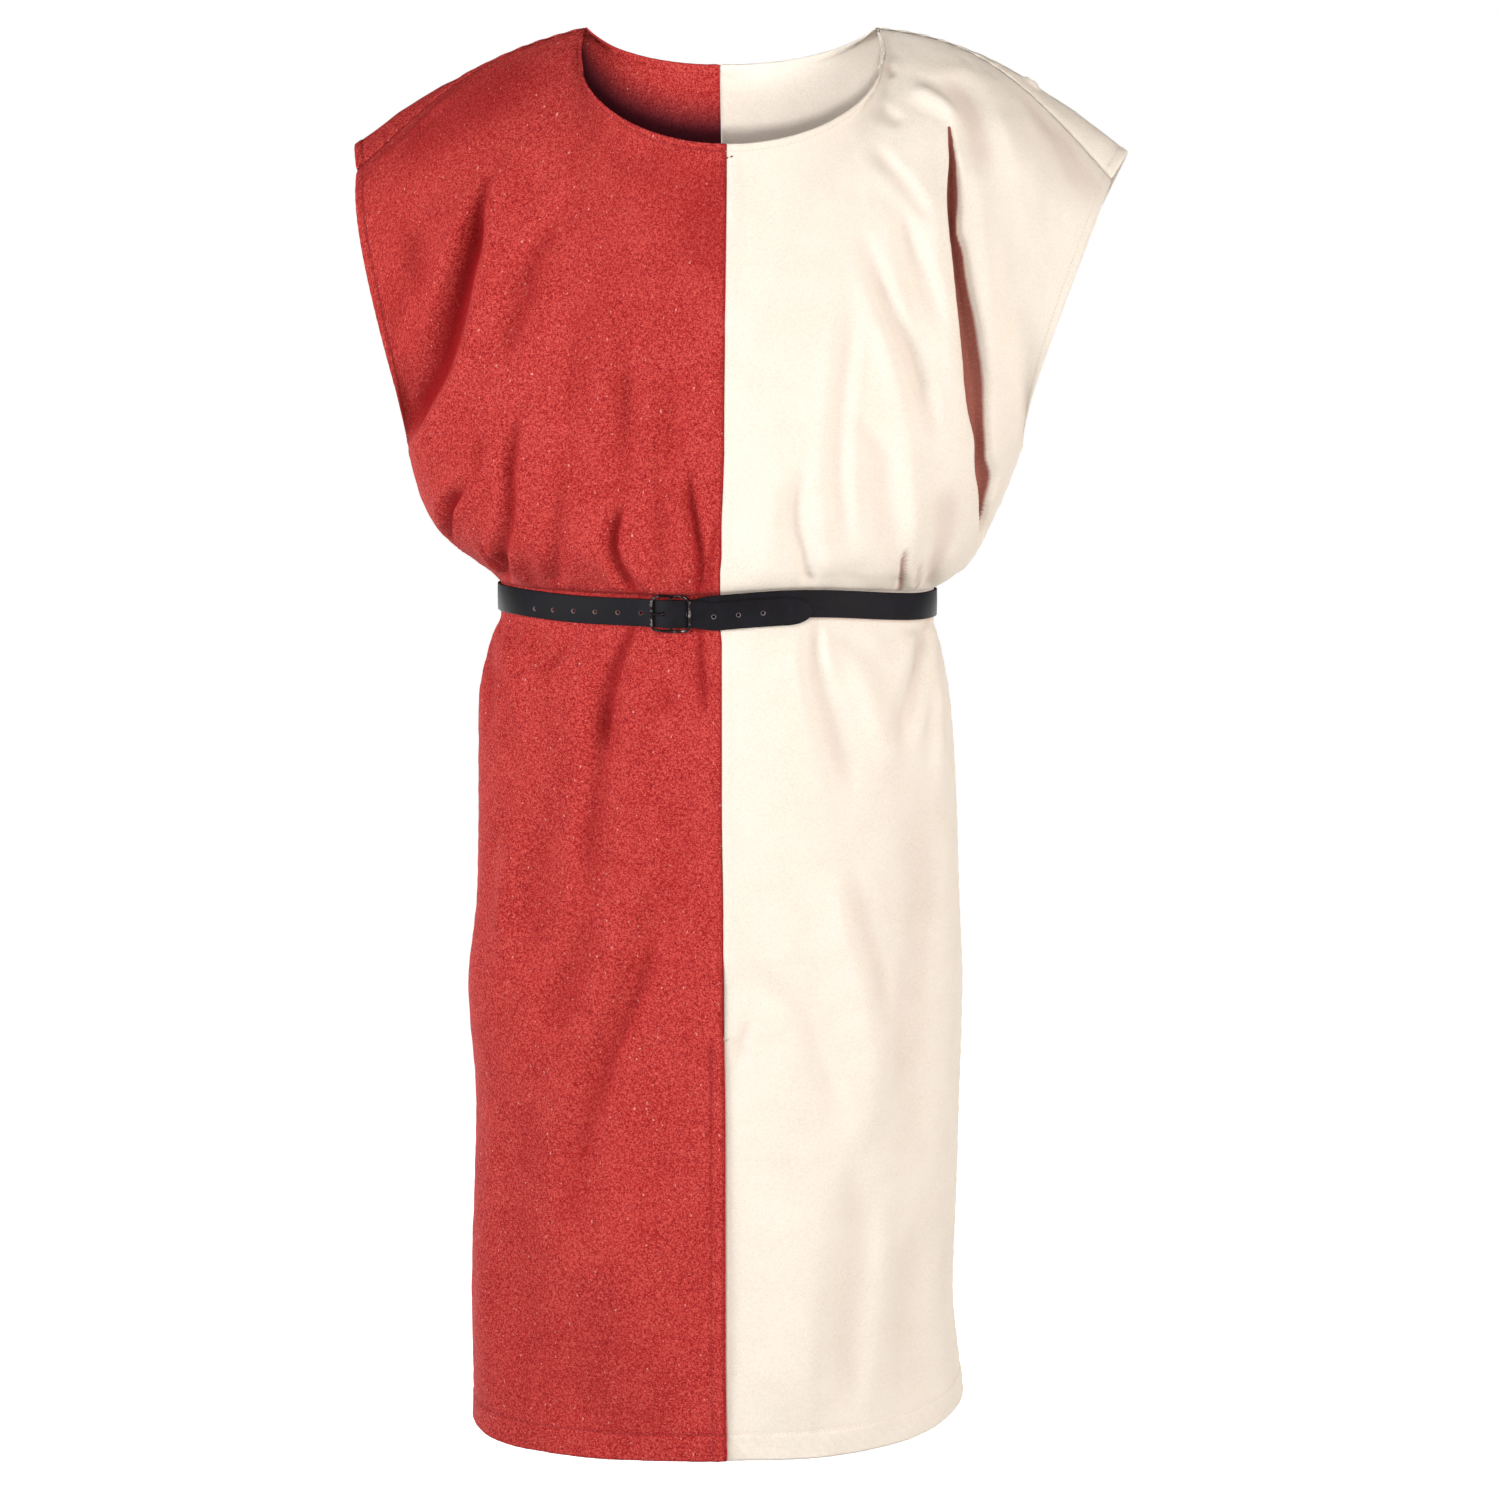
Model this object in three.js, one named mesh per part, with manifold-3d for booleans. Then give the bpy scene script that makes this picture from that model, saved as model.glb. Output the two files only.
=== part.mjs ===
// A parti-coloured tabard worn over a general figure, with its own belt.
// Millimetres, +Z up. The front faces -Y and the wearer's left is +X.
// The origin lies between the two high shoulder points. "down" is the distance below it.
import * as THREE from 'three';
import * as BufferGeometryUtils from 'three/addons/utils/BufferGeometryUtils.js';
import Module from 'manifold-3d';

const wasm = await Module();
wasm.setup();

// ---------- driving dimensions ----------

// The cloth's wall and its levels. The hem rises towards the side seams by hemRise.
const cloth = {
  thickness: 2.0,
  seamGap: 0.3,
  armpitDown: 315,
  hemDown: 1077,
  hemRise: { red: 4, cream: 24 },
  hemRiseFrom: 880,
};

// The neck opening, an oval in plan on a ring that slopes down to the front and to the back.
const neck = {
  red: 109,
  cream: 120,
  middleY: -12.5,
  depth: 77.5,
  seamAngle: 107,
  seamY: 10,
  slopeFront: 0.9,
  slopeBack: 0.47,
  seamXFront: 3,
  seamXBack: -3,
  share: 0.3,
};

// Outer end of each shoulder seam, how far the seam crowns between its ends, and how much
// further out the armhole edge stands above and below on each face.
const shoulderEnd = {
  red: { x: 274, y: -32, down: 108, crown: 20, front: { top: 0, low: -17 }, back: { top: 10, low: -17 } },
  cream: { x: 291, y: -24, down: 114, crown: 29, front: { top: -12, low: -38 }, back: { top: 56, low: -38 } },
};

// Level sections of the worn cloth: half widths to each side, depths, the centre seam's x,
// and how round each side is (1 is an ellipse, less is squarer).
const sections = [
  { at: 315, red: 241, cream: 228, seam: 1, front: 120, back: 108, roundRed: 0.84, roundCream: 0.84 },
  { at: 345, red: 234, cream: 217, seam: 0, front: 123, back: 109, roundRed: 0.84, roundCream: 0.84 },
  { at: 370, red: 224, cream: 206, seam: -1, front: 126, back: 111, roundRed: 0.86, roundCream: 0.86 },
  { at: 391, red: 208, cream: 195, seam: -1, front: 127, back: 113, roundRed: 0.88, roundCream: 0.88 },
  { at: 404, red: 191, cream: 186, seam: -2, front: 123, back: 110, roundRed: 0.93, roundCream: 0.93 },
  { at: 413, red: 179, cream: 174, seam: -2, front: 115, back: 104, roundRed: 0.98, roundCream: 0.98 },
  { at: 420, red: 171, cream: 161, seam: -2, front: 108, back: 99, roundRed: 1, roundCream: 1 },
  { at: 446, red: 171, cream: 161, seam: -2, front: 108, back: 99, roundRed: 1, roundCream: 1 },
  { at: 458, red: 180, cream: 165, seam: -1, front: 112, back: 103, roundRed: 0.97, roundCream: 0.97 },
  { at: 475, red: 184, cream: 169, seam: -1, front: 115, back: 108, roundRed: 0.93, roundCream: 0.93 },
  { at: 511, red: 188, cream: 174, seam: -1, front: 117, back: 116, roundRed: 0.9, roundCream: 0.9 },
  { at: 580, red: 189, cream: 179, seam: -1, front: 118, back: 123, roundRed: 0.88, roundCream: 0.9 },
  { at: 660, red: 191, cream: 182, seam: 0, front: 118, back: 126, roundRed: 0.86, roundCream: 0.92 },
  { at: 730, red: 198, cream: 185, seam: 0, front: 119, back: 125, roundRed: 0.84, roundCream: 0.94 },
  { at: 820, red: 193, cream: 183, seam: 1, front: 120, back: 124, roundRed: 0.82, roundCream: 0.95 },
  { at: 905, red: 195, cream: 181, seam: 1, front: 121, back: 125, roundRed: 0.8, roundCream: 0.96 },
  { at: 985, red: 197, cream: 179, seam: 1, front: 122, back: 127, roundRed: 0.8, roundCream: 0.97 },
  { at: 1077, red: 197, cream: 187, seam: 2, front: 123, back: 129, roundRed: 0.78, roundCream: 1 },
];

// Handles of the curve that each column of cloth follows from its top to the armpit level:
// reach is outwards along X, out is away from the body, rise is up. "at" runs from the
// centre seam (0) to the armhole (1).
const yokeFront = [
  { at: 0, topReach: 0, topOut: 12, topRise: -75, lowReach: 0, lowOut: -2, lowRise: 75 },
  { at: 0.15, topReach: 0, topOut: 18, topRise: -68, lowReach: 0, lowOut: -1, lowRise: 88 },
  { at: 0.22, topReach: 1, topOut: 42, topRise: -60, lowReach: -1, lowOut: 0, lowRise: 110 },
  { at: 0.3, topReach: 2, topOut: 76, topRise: -46, lowReach: -2, lowOut: 0, lowRise: 130 },
  { at: 0.5, topReach: 3, topOut: 72, topRise: -42, lowReach: 0, lowOut: 3, lowRise: 130 },
  { at: 0.7, topReach: 2, topOut: 64, topRise: -48, lowReach: 2, lowOut: 12, lowRise: 110 },
  { at: 0.85, topReach: 3, topOut: 54, topRise: -46, lowReach: 8, lowOut: 42, lowRise: 82 },
  { at: 1, topReach: 6, topOut: 40, topRise: -44, lowReach: 12, lowOut: 96, lowRise: 36 },
];
const yokeBack = [
  { at: 0, topReach: 0, topOut: 26, topRise: -52, lowReach: 0, lowOut: 12, lowRise: 120 },
  { at: 0.15, topReach: 0, topOut: 30, topRise: -42, lowReach: 0, lowOut: 12, lowRise: 120 },
  { at: 0.3, topReach: 2, topOut: 62, topRise: 6, lowReach: 0, lowOut: 12, lowRise: 150 },
  { at: 0.5, topReach: 3, topOut: 66, topRise: 12, lowReach: 0, lowOut: 16, lowRise: 140 },
  { at: 0.7, topReach: 3, topOut: 66, topRise: 40, lowReach: 2, lowOut: 26, lowRise: 120 },
  { at: 0.85, topReach: 3, topOut: 60, topRise: 68, lowReach: 6, lowOut: 50, lowRise: 105 },
  { at: 1, topReach: 8, topOut: 48, topRise: 92, lowReach: 10, lowOut: 108, lowRise: 52 },
];

// Large folds: a soft trough from a top point to a bottom point, both given as x and down
// on the face of the garment. A negative depth is a ridge. Each dies away at its ends.
const foldFade = { endShare: 0.04, power: 0.7 };
const folds = {
  front_right_red: [
    { topX: -168, topDown: 100, lowX: -222, lowDown: 300, halfWidth: 17, depth: 9 },
    { topX: -128, topDown: 130, lowX: -158, lowDown: 285, halfWidth: 15, depth: 4 },
    { topX: -78, topDown: 300, lowX: -78, lowDown: 415, halfWidth: 13, depth: 7 },
    { topX: -161, topDown: 330, lowX: -164, lowDown: 400, halfWidth: 12, depth: 6 },
    { topX: -205, topDown: 335, lowX: -208, lowDown: 398, halfWidth: 12, depth: 9 },
    { topX: -65, topDown: 455, lowX: -92, lowDown: 560, halfWidth: 13, depth: 5 },
    { topX: -60, topDown: 660, lowX: -112, lowDown: 840, halfWidth: 24, depth: 5 },
  ],
  front_left_cream: [
    { topX: 160, topDown: 80, lowX: 197, lowDown: 390, halfWidth: 13, depth: 17 },
    { topX: 178, topDown: 80, lowX: 217, lowDown: 350, halfWidth: 12, depth: -5 },
    { topX: 104, topDown: 150, lowX: 140, lowDown: 260, halfWidth: 15, depth: 5 },
    { topX: 60, topDown: 330, lowX: 65, lowDown: 415, halfWidth: 12, depth: 6 },
    { topX: 132, topDown: 330, lowX: 136, lowDown: 412, halfWidth: 13, depth: 7 },
    { topX: 63, topDown: 458, lowX: 74, lowDown: 540, halfWidth: 12, depth: 5 },
    { topX: 130, topDown: 470, lowX: 126, lowDown: 575, halfWidth: 17, depth: 5 },
    { topX: 78, topDown: 560, lowX: 118, lowDown: 1000, halfWidth: 22, depth: -5 },
  ],
  back_right_red: [
    { topX: -150, topDown: 90, lowX: -200, lowDown: 330, halfWidth: 17, depth: 8 },
    { topX: -50, topDown: 300, lowX: -54, lowDown: 415, halfWidth: 14, depth: 7 },
    { topX: -118, topDown: 320, lowX: -122, lowDown: 412, halfWidth: 13, depth: 7 },
    { topX: -84, topDown: 458, lowX: -70, lowDown: 590, halfWidth: 15, depth: 6 },
    { topX: -130, topDown: 460, lowX: -138, lowDown: 720, halfWidth: 20, depth: 6 },
  ],
  back_left_cream: [
    { topX: 158, topDown: 90, lowX: 190, lowDown: 360, halfWidth: 16, depth: 10 },
    { topX: 44, topDown: 310, lowX: 48, lowDown: 415, halfWidth: 14, depth: 6 },
    { topX: 104, topDown: 300, lowX: 112, lowDown: 412, halfWidth: 14, depth: 8 },
    { topX: 72, topDown: 458, lowX: 62, lowDown: 640, halfWidth: 16, depth: 6 },
    { topX: 132, topDown: 462, lowX: 120, lowDown: 690, halfWidth: 19, depth: 6 },
  ],
};

// The riding slit, where the red edge lies over the cream one.
const slit = { topDown: 755, lap: 5, setBack: 2.6, settle: 70, reach: 0.24 };

// Grid of each panel: columns across the neck and the shoulder, rows down to the hem.
const grid = {
  neckColumns: 6,
  shoulderColumns: 9,
  yokeRows: 12,
  blouseRows: 8,
  beltRows: 2,
  hipRows: 8,
  hipGrowth: 1.4,
  slitRows: 6,
};

// The belt: its strap, its run round the waist, its holes and its buckle. Past the buckle the
// under layer rises over one reach and falls back over another before it comes round again.
const belt = {
  thickness: 2.0,
  width: 20.5,
  gap: 0.5,
  down: 432,
  tilt: 0.014,
  slantReach: 60,
  frontRise: 5.8,
  riseFrom: -25,
  riseSpan: 175,
  risePower: 1.3,
  lapDrop: 2.2,
  underRise: { from: 12, reach: 16 },
  underFall: { from: 60, reach: 90 },
  lapSag: 3.1,
  lapSagFrom: 14,
  lapSagReach: 20,
  buckleX: -36,
  holeRadius: 1.6,
  holeSpacing: 18,
  holesBefore: 6,
  holesAfter: 4,
  holeStepDown: 0.35,
  prongHole: -4.8,
  tipPast: 104,
  tipLength: 20,
  foldEnd: 9,
  aroundStep: 12,
  drillReach: 14,
};
const buckle = {
  halfWidth: 14,
  halfHeight: 12.2,
  bulge: 1.1,
  barRadius: 1.1,
  centreOut: 3.75,
  sideRise: 4.7,
  prongRadius: 0.9,
  ringRadius: 2.1,
  ringRodRadius: 0.7,
};

// The band that the belt presses flat, and how soon the folds begin again past it.
const bandTop = 420;
const bandBottom = 446;
const bandRelease = 16;

const finish = {
  red: { color: 0xb8383a, roughness: 0.92, metalness: 0 },
  cream: { color: 0xf4e9da, roughness: 0.92, metalness: 0 },
  leather: { color: 0x1d1e22, roughness: 0.45, metalness: 0 },
  metal: { color: 0x6d6864, roughness: 0.35, metalness: 1 },
};

// ---------- small tools ----------

const clamp01 = (t) => Math.min(1, Math.max(0, t));
const smooth = (t) => clamp01(t) * clamp01(t) * (3 - 2 * clamp01(t));
const radians = (degrees) => (degrees * Math.PI) / 180;

// Every column of a table at one place, on a smooth curve that never overshoots the rows.
function readTable(table, place) {
  const last = table.length - 1;
  let i = 0;
  while (i < last - 1 && place > table[i + 1].at) i += 1;
  const [rowA, rowB] = [table[i], table[i + 1]];
  const span = rowB.at - rowA.at;
  const t = clamp01((place - rowA.at) / span);
  const rise = (k, key) => (table[k + 1][key] - table[k][key]) / (table[k + 1].at - table[k].at);
  const slope = (k, key) => {
    if (k === 0 || k === last) return rise(Math.min(k, last - 1), key);
    const [left, right] = [rise(k - 1, key), rise(k, key)];
    return left * right > 0 ? (2 * left * right) / (left + right) : 0;
  };
  const values = {};
  for (const key of Object.keys(rowA)) {
    const slopeA = slope(i, key) * span;
    const slopeB = slope(i + 1, key) * span;
    values[key] = (2 * t ** 3 - 3 * t ** 2 + 1) * rowA[key]
      + (t ** 3 - 2 * t ** 2 + t) * slopeA
      + (3 * t ** 2 - 2 * t ** 3) * rowB[key]
      + (t ** 3 - t ** 2) * slopeB;
  }
  return values;
}

// Evenly spaced values from start up to, but without, end.
function spaced(start, end, count) {
  return Array.from({ length: count }, (_, i) => start + ((end - start) * i) / count);
}

// A closed body from a ring of points per station; the ends are closed by fans.
function closedBody(rings, closedLoop = false) {
  const positions = rings.flat().flatMap((p) => [p.x, p.y, p.z]);
  const around = rings[0].length;
  const index = [];
  const stations = closedLoop ? rings.length : rings.length - 1;
  for (let i = 0; i < stations; i += 1) {
    const next = (i + 1) % rings.length;
    for (let j = 0; j < around; j += 1) {
      const k = (j + 1) % around;
      const [a, b, c, d] = [i * around + j, i * around + k, next * around + k, next * around + j];
      index.push(a, b, c, a, c, d);
    }
  }
  if (!closedLoop) {
    const end = (rings.length - 1) * around;
    for (let j = 1; j < around - 1; j += 1) {
      index.push(0, j + 1, j);
      index.push(end, end + j, end + j + 1);
    }
  }
  const geometry = new THREE.BufferGeometry();
  geometry.setAttribute('position', new THREE.Float32BufferAttribute(positions, 3));
  geometry.setIndex(index);
  return outwards(geometry);
}

// Turns a closed body's faces so that they point out.
function outwards(geometry) {
  const p = geometry.attributes.position;
  const index = geometry.index.array;
  const [a, b, c] = [new THREE.Vector3(), new THREE.Vector3(), new THREE.Vector3()];
  let volume = 0;
  for (let i = 0; i < index.length; i += 3) {
    a.fromBufferAttribute(p, index[i]);
    b.fromBufferAttribute(p, index[i + 1]);
    c.fromBufferAttribute(p, index[i + 2]);
    volume += a.dot(b.cross(c));
  }
  if (volume < 0) {
    for (let i = 0; i < index.length; i += 3) [index[i], index[i + 1]] = [index[i + 1], index[i]];
  }
  return geometry;
}

function toSolid(geometry) {
  const bare = geometry.clone();
  bare.deleteAttribute('normal');
  bare.deleteAttribute('uv');
  const merged = BufferGeometryUtils.mergeVertices(bare, 1e-4);
  return new wasm.Manifold(new wasm.Mesh({
    numProp: 3,
    vertProperties: new Float32Array(merged.attributes.position.array),
    triVerts: new Uint32Array(merged.index.array),
  }));
}

function fromSolid(solid) {
  const mesh = solid.getMesh();
  const geometry = new THREE.BufferGeometry();
  geometry.setAttribute('position', new THREE.BufferAttribute(mesh.vertProperties, 3));
  geometry.setIndex(new THREE.BufferAttribute(mesh.triVerts, 1));
  return geometry;
}

function namedMesh(name, geometry, look) {
  geometry.computeVertexNormals();
  const mesh = new THREE.Mesh(geometry, new THREE.MeshStandardMaterial(look));
  mesh.name = name;
  return mesh;
}

// ---------- the worn cloth ----------

const sideSign = { red: -1, cream: 1 };
const faceSign = { front: -1, back: 1 };

// How far the belt and the cloth under it rise on the front, to the left of the buckle.
function frontRise(x) {
  const share = clamp01((x - belt.riseFrom) / belt.riseSpan);
  return belt.frontRise * Math.max(0, Math.sin(Math.PI * share)) ** belt.risePower;
}

// A point of the level section: u runs from the centre seam (0) to the side seam (1).
function sectionPoint(side, face, u, down) {
  const row = readTable(sections, down);
  const round = side === 'red' ? row.roundRed : row.roundCream;
  const angle = (u * Math.PI) / 2;
  const across = Math.sin(angle) ** round;
  const forward = u === 1 ? 0 : Math.cos(angle) ** round;
  const x = row.seam * (1 - across) + sideSign[side] * row[side] * across;
  const hemShare = smooth((down - cloth.hemRiseFrom) / (cloth.hemDown - cloth.hemRiseFrom));
  const lift = cloth.hemRise[side] * hemShare * u ** 3;
  const nearBelt = Math.exp(-(((down - belt.down) / belt.slantReach) ** 2));
  const slant = (belt.tilt * x - (face === 'front' ? frontRise(x) : 0)) * nearBelt;
  return new THREE.Vector3(x, faceSign[face] * row[face] * forward, lift - slant - down);
}

// The top of a column: on the neckline up to the shoulder seam, then along that seam.
function topPoint(side, face, u) {
  const sign = sideSign[side];
  if (u <= neck.share) {
    const turn = u / neck.share;
    const angle = radians(face === 'front' ? turn * neck.seamAngle : 180 - turn * (180 - neck.seamAngle));
    const seamX = face === 'front' ? neck.seamXFront : neck.seamXBack;
    const across = Math.sin(angle);
    const x = seamX * (1 - across) + sign * neck[side] * across;
    const y = neck.middleY - neck.depth * Math.cos(angle);
    const slope = face === 'front' ? neck.slopeFront : neck.slopeBack;
    return new THREE.Vector3(x, y, -slope * Math.abs(y - neck.seamY));
  }
  const start = topPoint(side, face, neck.share);
  const end = shoulderEnd[side];
  const t = (u - neck.share) / (1 - neck.share);
  return new THREE.Vector3(
    start.x + (sign * end.x - start.x) * t,
    start.y + (end.y - start.y) * t * t,
    start.z + (-end.down - start.z) * t + end.crown * Math.sin(Math.PI * t),
  );
}

// A point of the yoke: t runs from the column's top (0) to the armpit level (1).
function yokePoint(side, face, u, t) {
  const handles = readTable(face === 'front' ? yokeFront : yokeBack, u);
  const top = topPoint(side, face, u);
  const low = sectionPoint(side, face, u, cloth.armpitDown);
  const edge = shoulderEnd[side][face];
  const nearEdge = u ** 3;
  const afterTop = new THREE.Vector3(
    top.x + sideSign[side] * (handles.topReach + edge.top * nearEdge),
    top.y + faceSign[face] * handles.topOut,
    top.z + handles.topRise,
  );
  const beforeLow = new THREE.Vector3(
    low.x + sideSign[side] * (handles.lowReach + edge.low * nearEdge),
    low.y + faceSign[face] * handles.lowOut,
    low.z + handles.lowRise,
  );
  return new THREE.CubicBezierCurve3(top, afterTop, beforeLow, low).getPoint(t);
}

// How far the folds push the cloth in at one place on a face.
function foldDepth(name, x, down) {
  let depth = 0;
  for (const fold of folds[name]) {
    const alongX = fold.lowX - fold.topX;
    const alongDown = fold.lowDown - fold.topDown;
    const length = Math.hypot(alongX, alongDown);
    const t = ((x - fold.topX) * alongX + (down - fold.topDown) * alongDown) / length ** 2;
    const aside = ((x - fold.topX) * alongDown - (down - fold.topDown) * alongX) / length;
    const along = foldFade.endShare + (1 - 2 * foldFade.endShare) * clamp01(t);
    const fade = Math.sin(Math.PI * along) ** foldFade.power;
    if (t > 0 && t < 1) depth += fold.depth * fade * Math.exp(-((aside / fold.halfWidth) ** 2));
  }
  return depth;
}

// 0 where the belt presses the cloth flat, 1 clear of it.
function clearOfBelt(down) {
  return smooth(Math.max(bandTop - down, down - bandBottom) / bandRelease);
}

function panelRows() {
  const hipEnd = slit.topDown - slit.settle;
  return {
    yoke: spaced(0, 1, grid.yokeRows),
    body: [
      ...spaced(cloth.armpitDown, bandTop, grid.blouseRows),
      ...spaced(bandTop, bandBottom, grid.beltRows),
      ...spaced(0, 1, grid.hipRows).map((t) => bandBottom + (hipEnd - bandBottom) * t ** grid.hipGrowth),
      ...spaced(hipEnd, slit.topDown, 2),
      ...spaced(slit.topDown, cloth.hemDown, grid.slitRows),
      cloth.hemDown,
    ],
  };
}

// One panel of cloth as a closed wall.
function panel(name, side, face) {
  const columns = [
    ...spaced(0, neck.share, grid.neckColumns),
    ...spaced(neck.share, 1, grid.shoulderColumns),
    1,
  ];
  const rows = panelRows();
  const surface = [
    ...rows.yoke.map((t) => columns.map((u) => yokePoint(side, face, u, t))),
    ...rows.body.map((down) => columns.map((u) => sectionPoint(side, face, u, down))),
  ];
  const lastColumn = columns.length - 1;
  const shoulder = grid.neckColumns;
  const seamOf = (i, j) => ({
    centre: j === 0,
    side: j === lastColumn && i >= rows.yoke.length,
    shoulder: i === 0 && j >= shoulder,
  });
  const plain = gridNormals(surface, seamOf, side, face);
  surface.forEach((row, i) => row.forEach((point, j) => {
    const down = -point.z;
    let inwards = foldDepth(name, point.x, down) * clearOfBelt(down) * seamFade(i, j, lastColumn);
    if (name === 'front_left_cream') inwards += slitSetBack(columns[j], down);
    point.addScaledVector(plain[i][j], -inwards);
  }));
  const normals = gridNormals(surface, seamOf, side, face);
  const halfGap = cloth.seamGap / 2;
  const outer = surface.map((row, i) => row.map((point, j) => {
    const seam = seamOf(i, j);
    const moved = point.clone();
    if (seam.centre) moved.x += sideSign[side] * halfGap;
    if (seam.side || seam.shoulder) moved.y += faceSign[face] * halfGap;
    if (name === 'front_left_cream') moved.x -= slitShift(columns[j], -point.z);
    return moved;
  }));
  const inner = outer.map((row, i) => row.map((point, j) => (
    point.clone().addScaledVector(normals[i][j], -cloth.thickness))));
  return closedWall(outer, inner);
}

// Folds fade out at the seams, so that both panels meet on the same line.
function seamFade(i, j, lastColumn) {
  return smooth(j / 1.5) * smooth((lastColumn - j) / 1.5) * smooth(i / 2);
}

// The cream edge drops behind the red one before the slit begins, then runs under it.
function slitSetBack(u, down) {
  const settled = smooth((down - slit.topDown + slit.settle) / (slit.settle / 2));
  return slit.setBack * settled * (1 - smooth(u / slit.reach));
}

function slitShift(u, down) {
  return down > slit.topDown ? slit.lap * (1 - smooth(u / slit.reach)) : 0;
}

// Outward normals of a grid of points. On a seam the normal lies in the seam's own plane,
// so the two panels that meet there share it.
function gridNormals(points, seamOf, side, face) {
  const rows = points.length - 1;
  const columns = points[0].length - 1;
  return points.map((row, i) => row.map((_, j) => {
    const across = new THREE.Vector3().subVectors(row[Math.min(columns, j + 1)], row[Math.max(0, j - 1)]);
    const [above, below] = [points[Math.max(0, i - 1)][j], points[Math.min(rows, i + 1)][j]];
    const downwards = new THREE.Vector3().subVectors(below, above);
    const normal = new THREE.Vector3().crossVectors(across, downwards);
    normal.multiplyScalar(sideSign[side] * faceSign[face]);
    const seam = seamOf(i, j);
    if (seam.centre) normal.set(0, -downwards.z, downwards.y).multiplyScalar(faceSign[face]);
    if (seam.side) normal.set(-downwards.z, 0, downwards.x).multiplyScalar(sideSign[side]);
    if (seam.shoulder) normal.set(-across.z, 0, across.x).multiplyScalar(sideSign[side]);
    return normal.normalize();
  }));
}

// A wall between an outer and an inner grid of points, closed round its four edges.
function closedWall(outer, inner) {
  const [rows, columns] = [outer.length, outer[0].length];
  const positions = [...outer, ...inner].flat().flatMap((p) => [p.x, p.y, p.z]);
  const at = (layer, i, j) => layer * rows * columns + i * columns + j;
  const index = [];
  const quad = (a, b, c, d) => index.push(a, b, c, a, c, d);
  for (let i = 0; i < rows - 1; i += 1) {
    for (let j = 0; j < columns - 1; j += 1) {
      quad(at(0, i, j), at(0, i + 1, j), at(0, i + 1, j + 1), at(0, i, j + 1));
      quad(at(1, i, j), at(1, i, j + 1), at(1, i + 1, j + 1), at(1, i + 1, j));
    }
    const end = columns - 1;
    quad(at(0, i, 0), at(1, i, 0), at(1, i + 1, 0), at(0, i + 1, 0));
    quad(at(0, i, end), at(0, i + 1, end), at(1, i + 1, end), at(1, i, end));
  }
  for (let j = 0; j < columns - 1; j += 1) {
    const end = rows - 1;
    quad(at(0, 0, j), at(0, 0, j + 1), at(1, 0, j + 1), at(1, 0, j));
    quad(at(0, end, j), at(1, end, j), at(1, end, j + 1), at(0, end, j + 1));
  }
  const geometry = new THREE.BufferGeometry();
  geometry.setAttribute('position', new THREE.Float32BufferAttribute(positions, 3));
  geometry.setIndex(index);
  return outwards(geometry);
}

// ---------- the belt ----------

// The waist line that the belt follows, by arc length from the centre front towards +X.
function waistLine() {
  const row = readTable(sections, belt.down);
  const steps = 720;
  const points = [];
  let length = 0;
  for (let i = 0; i <= steps; i += 1) {
    const angle = (2 * Math.PI * i) / steps;
    const halfWidth = Math.sin(angle) >= 0 ? row.cream : row.red;
    const depth = Math.cos(angle) >= 0 ? row.front : row.back;
    const x = row.seam * (1 - Math.abs(Math.sin(angle))) + halfWidth * Math.sin(angle);
    const y = -depth * Math.cos(angle);
    if (i > 0) length += Math.hypot(x - points[i - 1].x, y - points[i - 1].y);
    points.push({ x, y, length });
  }
  return points;
}

const waist = waistLine();
const waistLength = waist[waist.length - 1].length;

// A point at arc length s round the waist, a distance out from the cloth, at a height.
function aroundWaist(s, out, z) {
  const place = ((s % waistLength) + waistLength) % waistLength;
  let i = 1;
  while (i < waist.length - 1 && waist[i].length < place) i += 1;
  const [a, b] = [waist[i - 1], waist[i]];
  const t = (place - a.length) / (b.length - a.length);
  const normalAt = (k) => {
    const n = waist.length - 1;
    const [before, after] = [waist[(k - 1 + n) % n], waist[(k + 1) % n]];
    return new THREE.Vector2(after.y - before.y, before.x - after.x).normalize();
  };
  const normal = normalAt(i - 1).lerp(normalAt(i), t).normalize();
  const x = a.x + (b.x - a.x) * t + normal.x * out;
  const y = a.y + (b.y - a.y) * t + normal.y * out;
  const rise = y < 0 ? frontRise(x) : 0;
  return new THREE.Vector3(x, y, z + rise - belt.down - belt.tilt * x);
}

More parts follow.
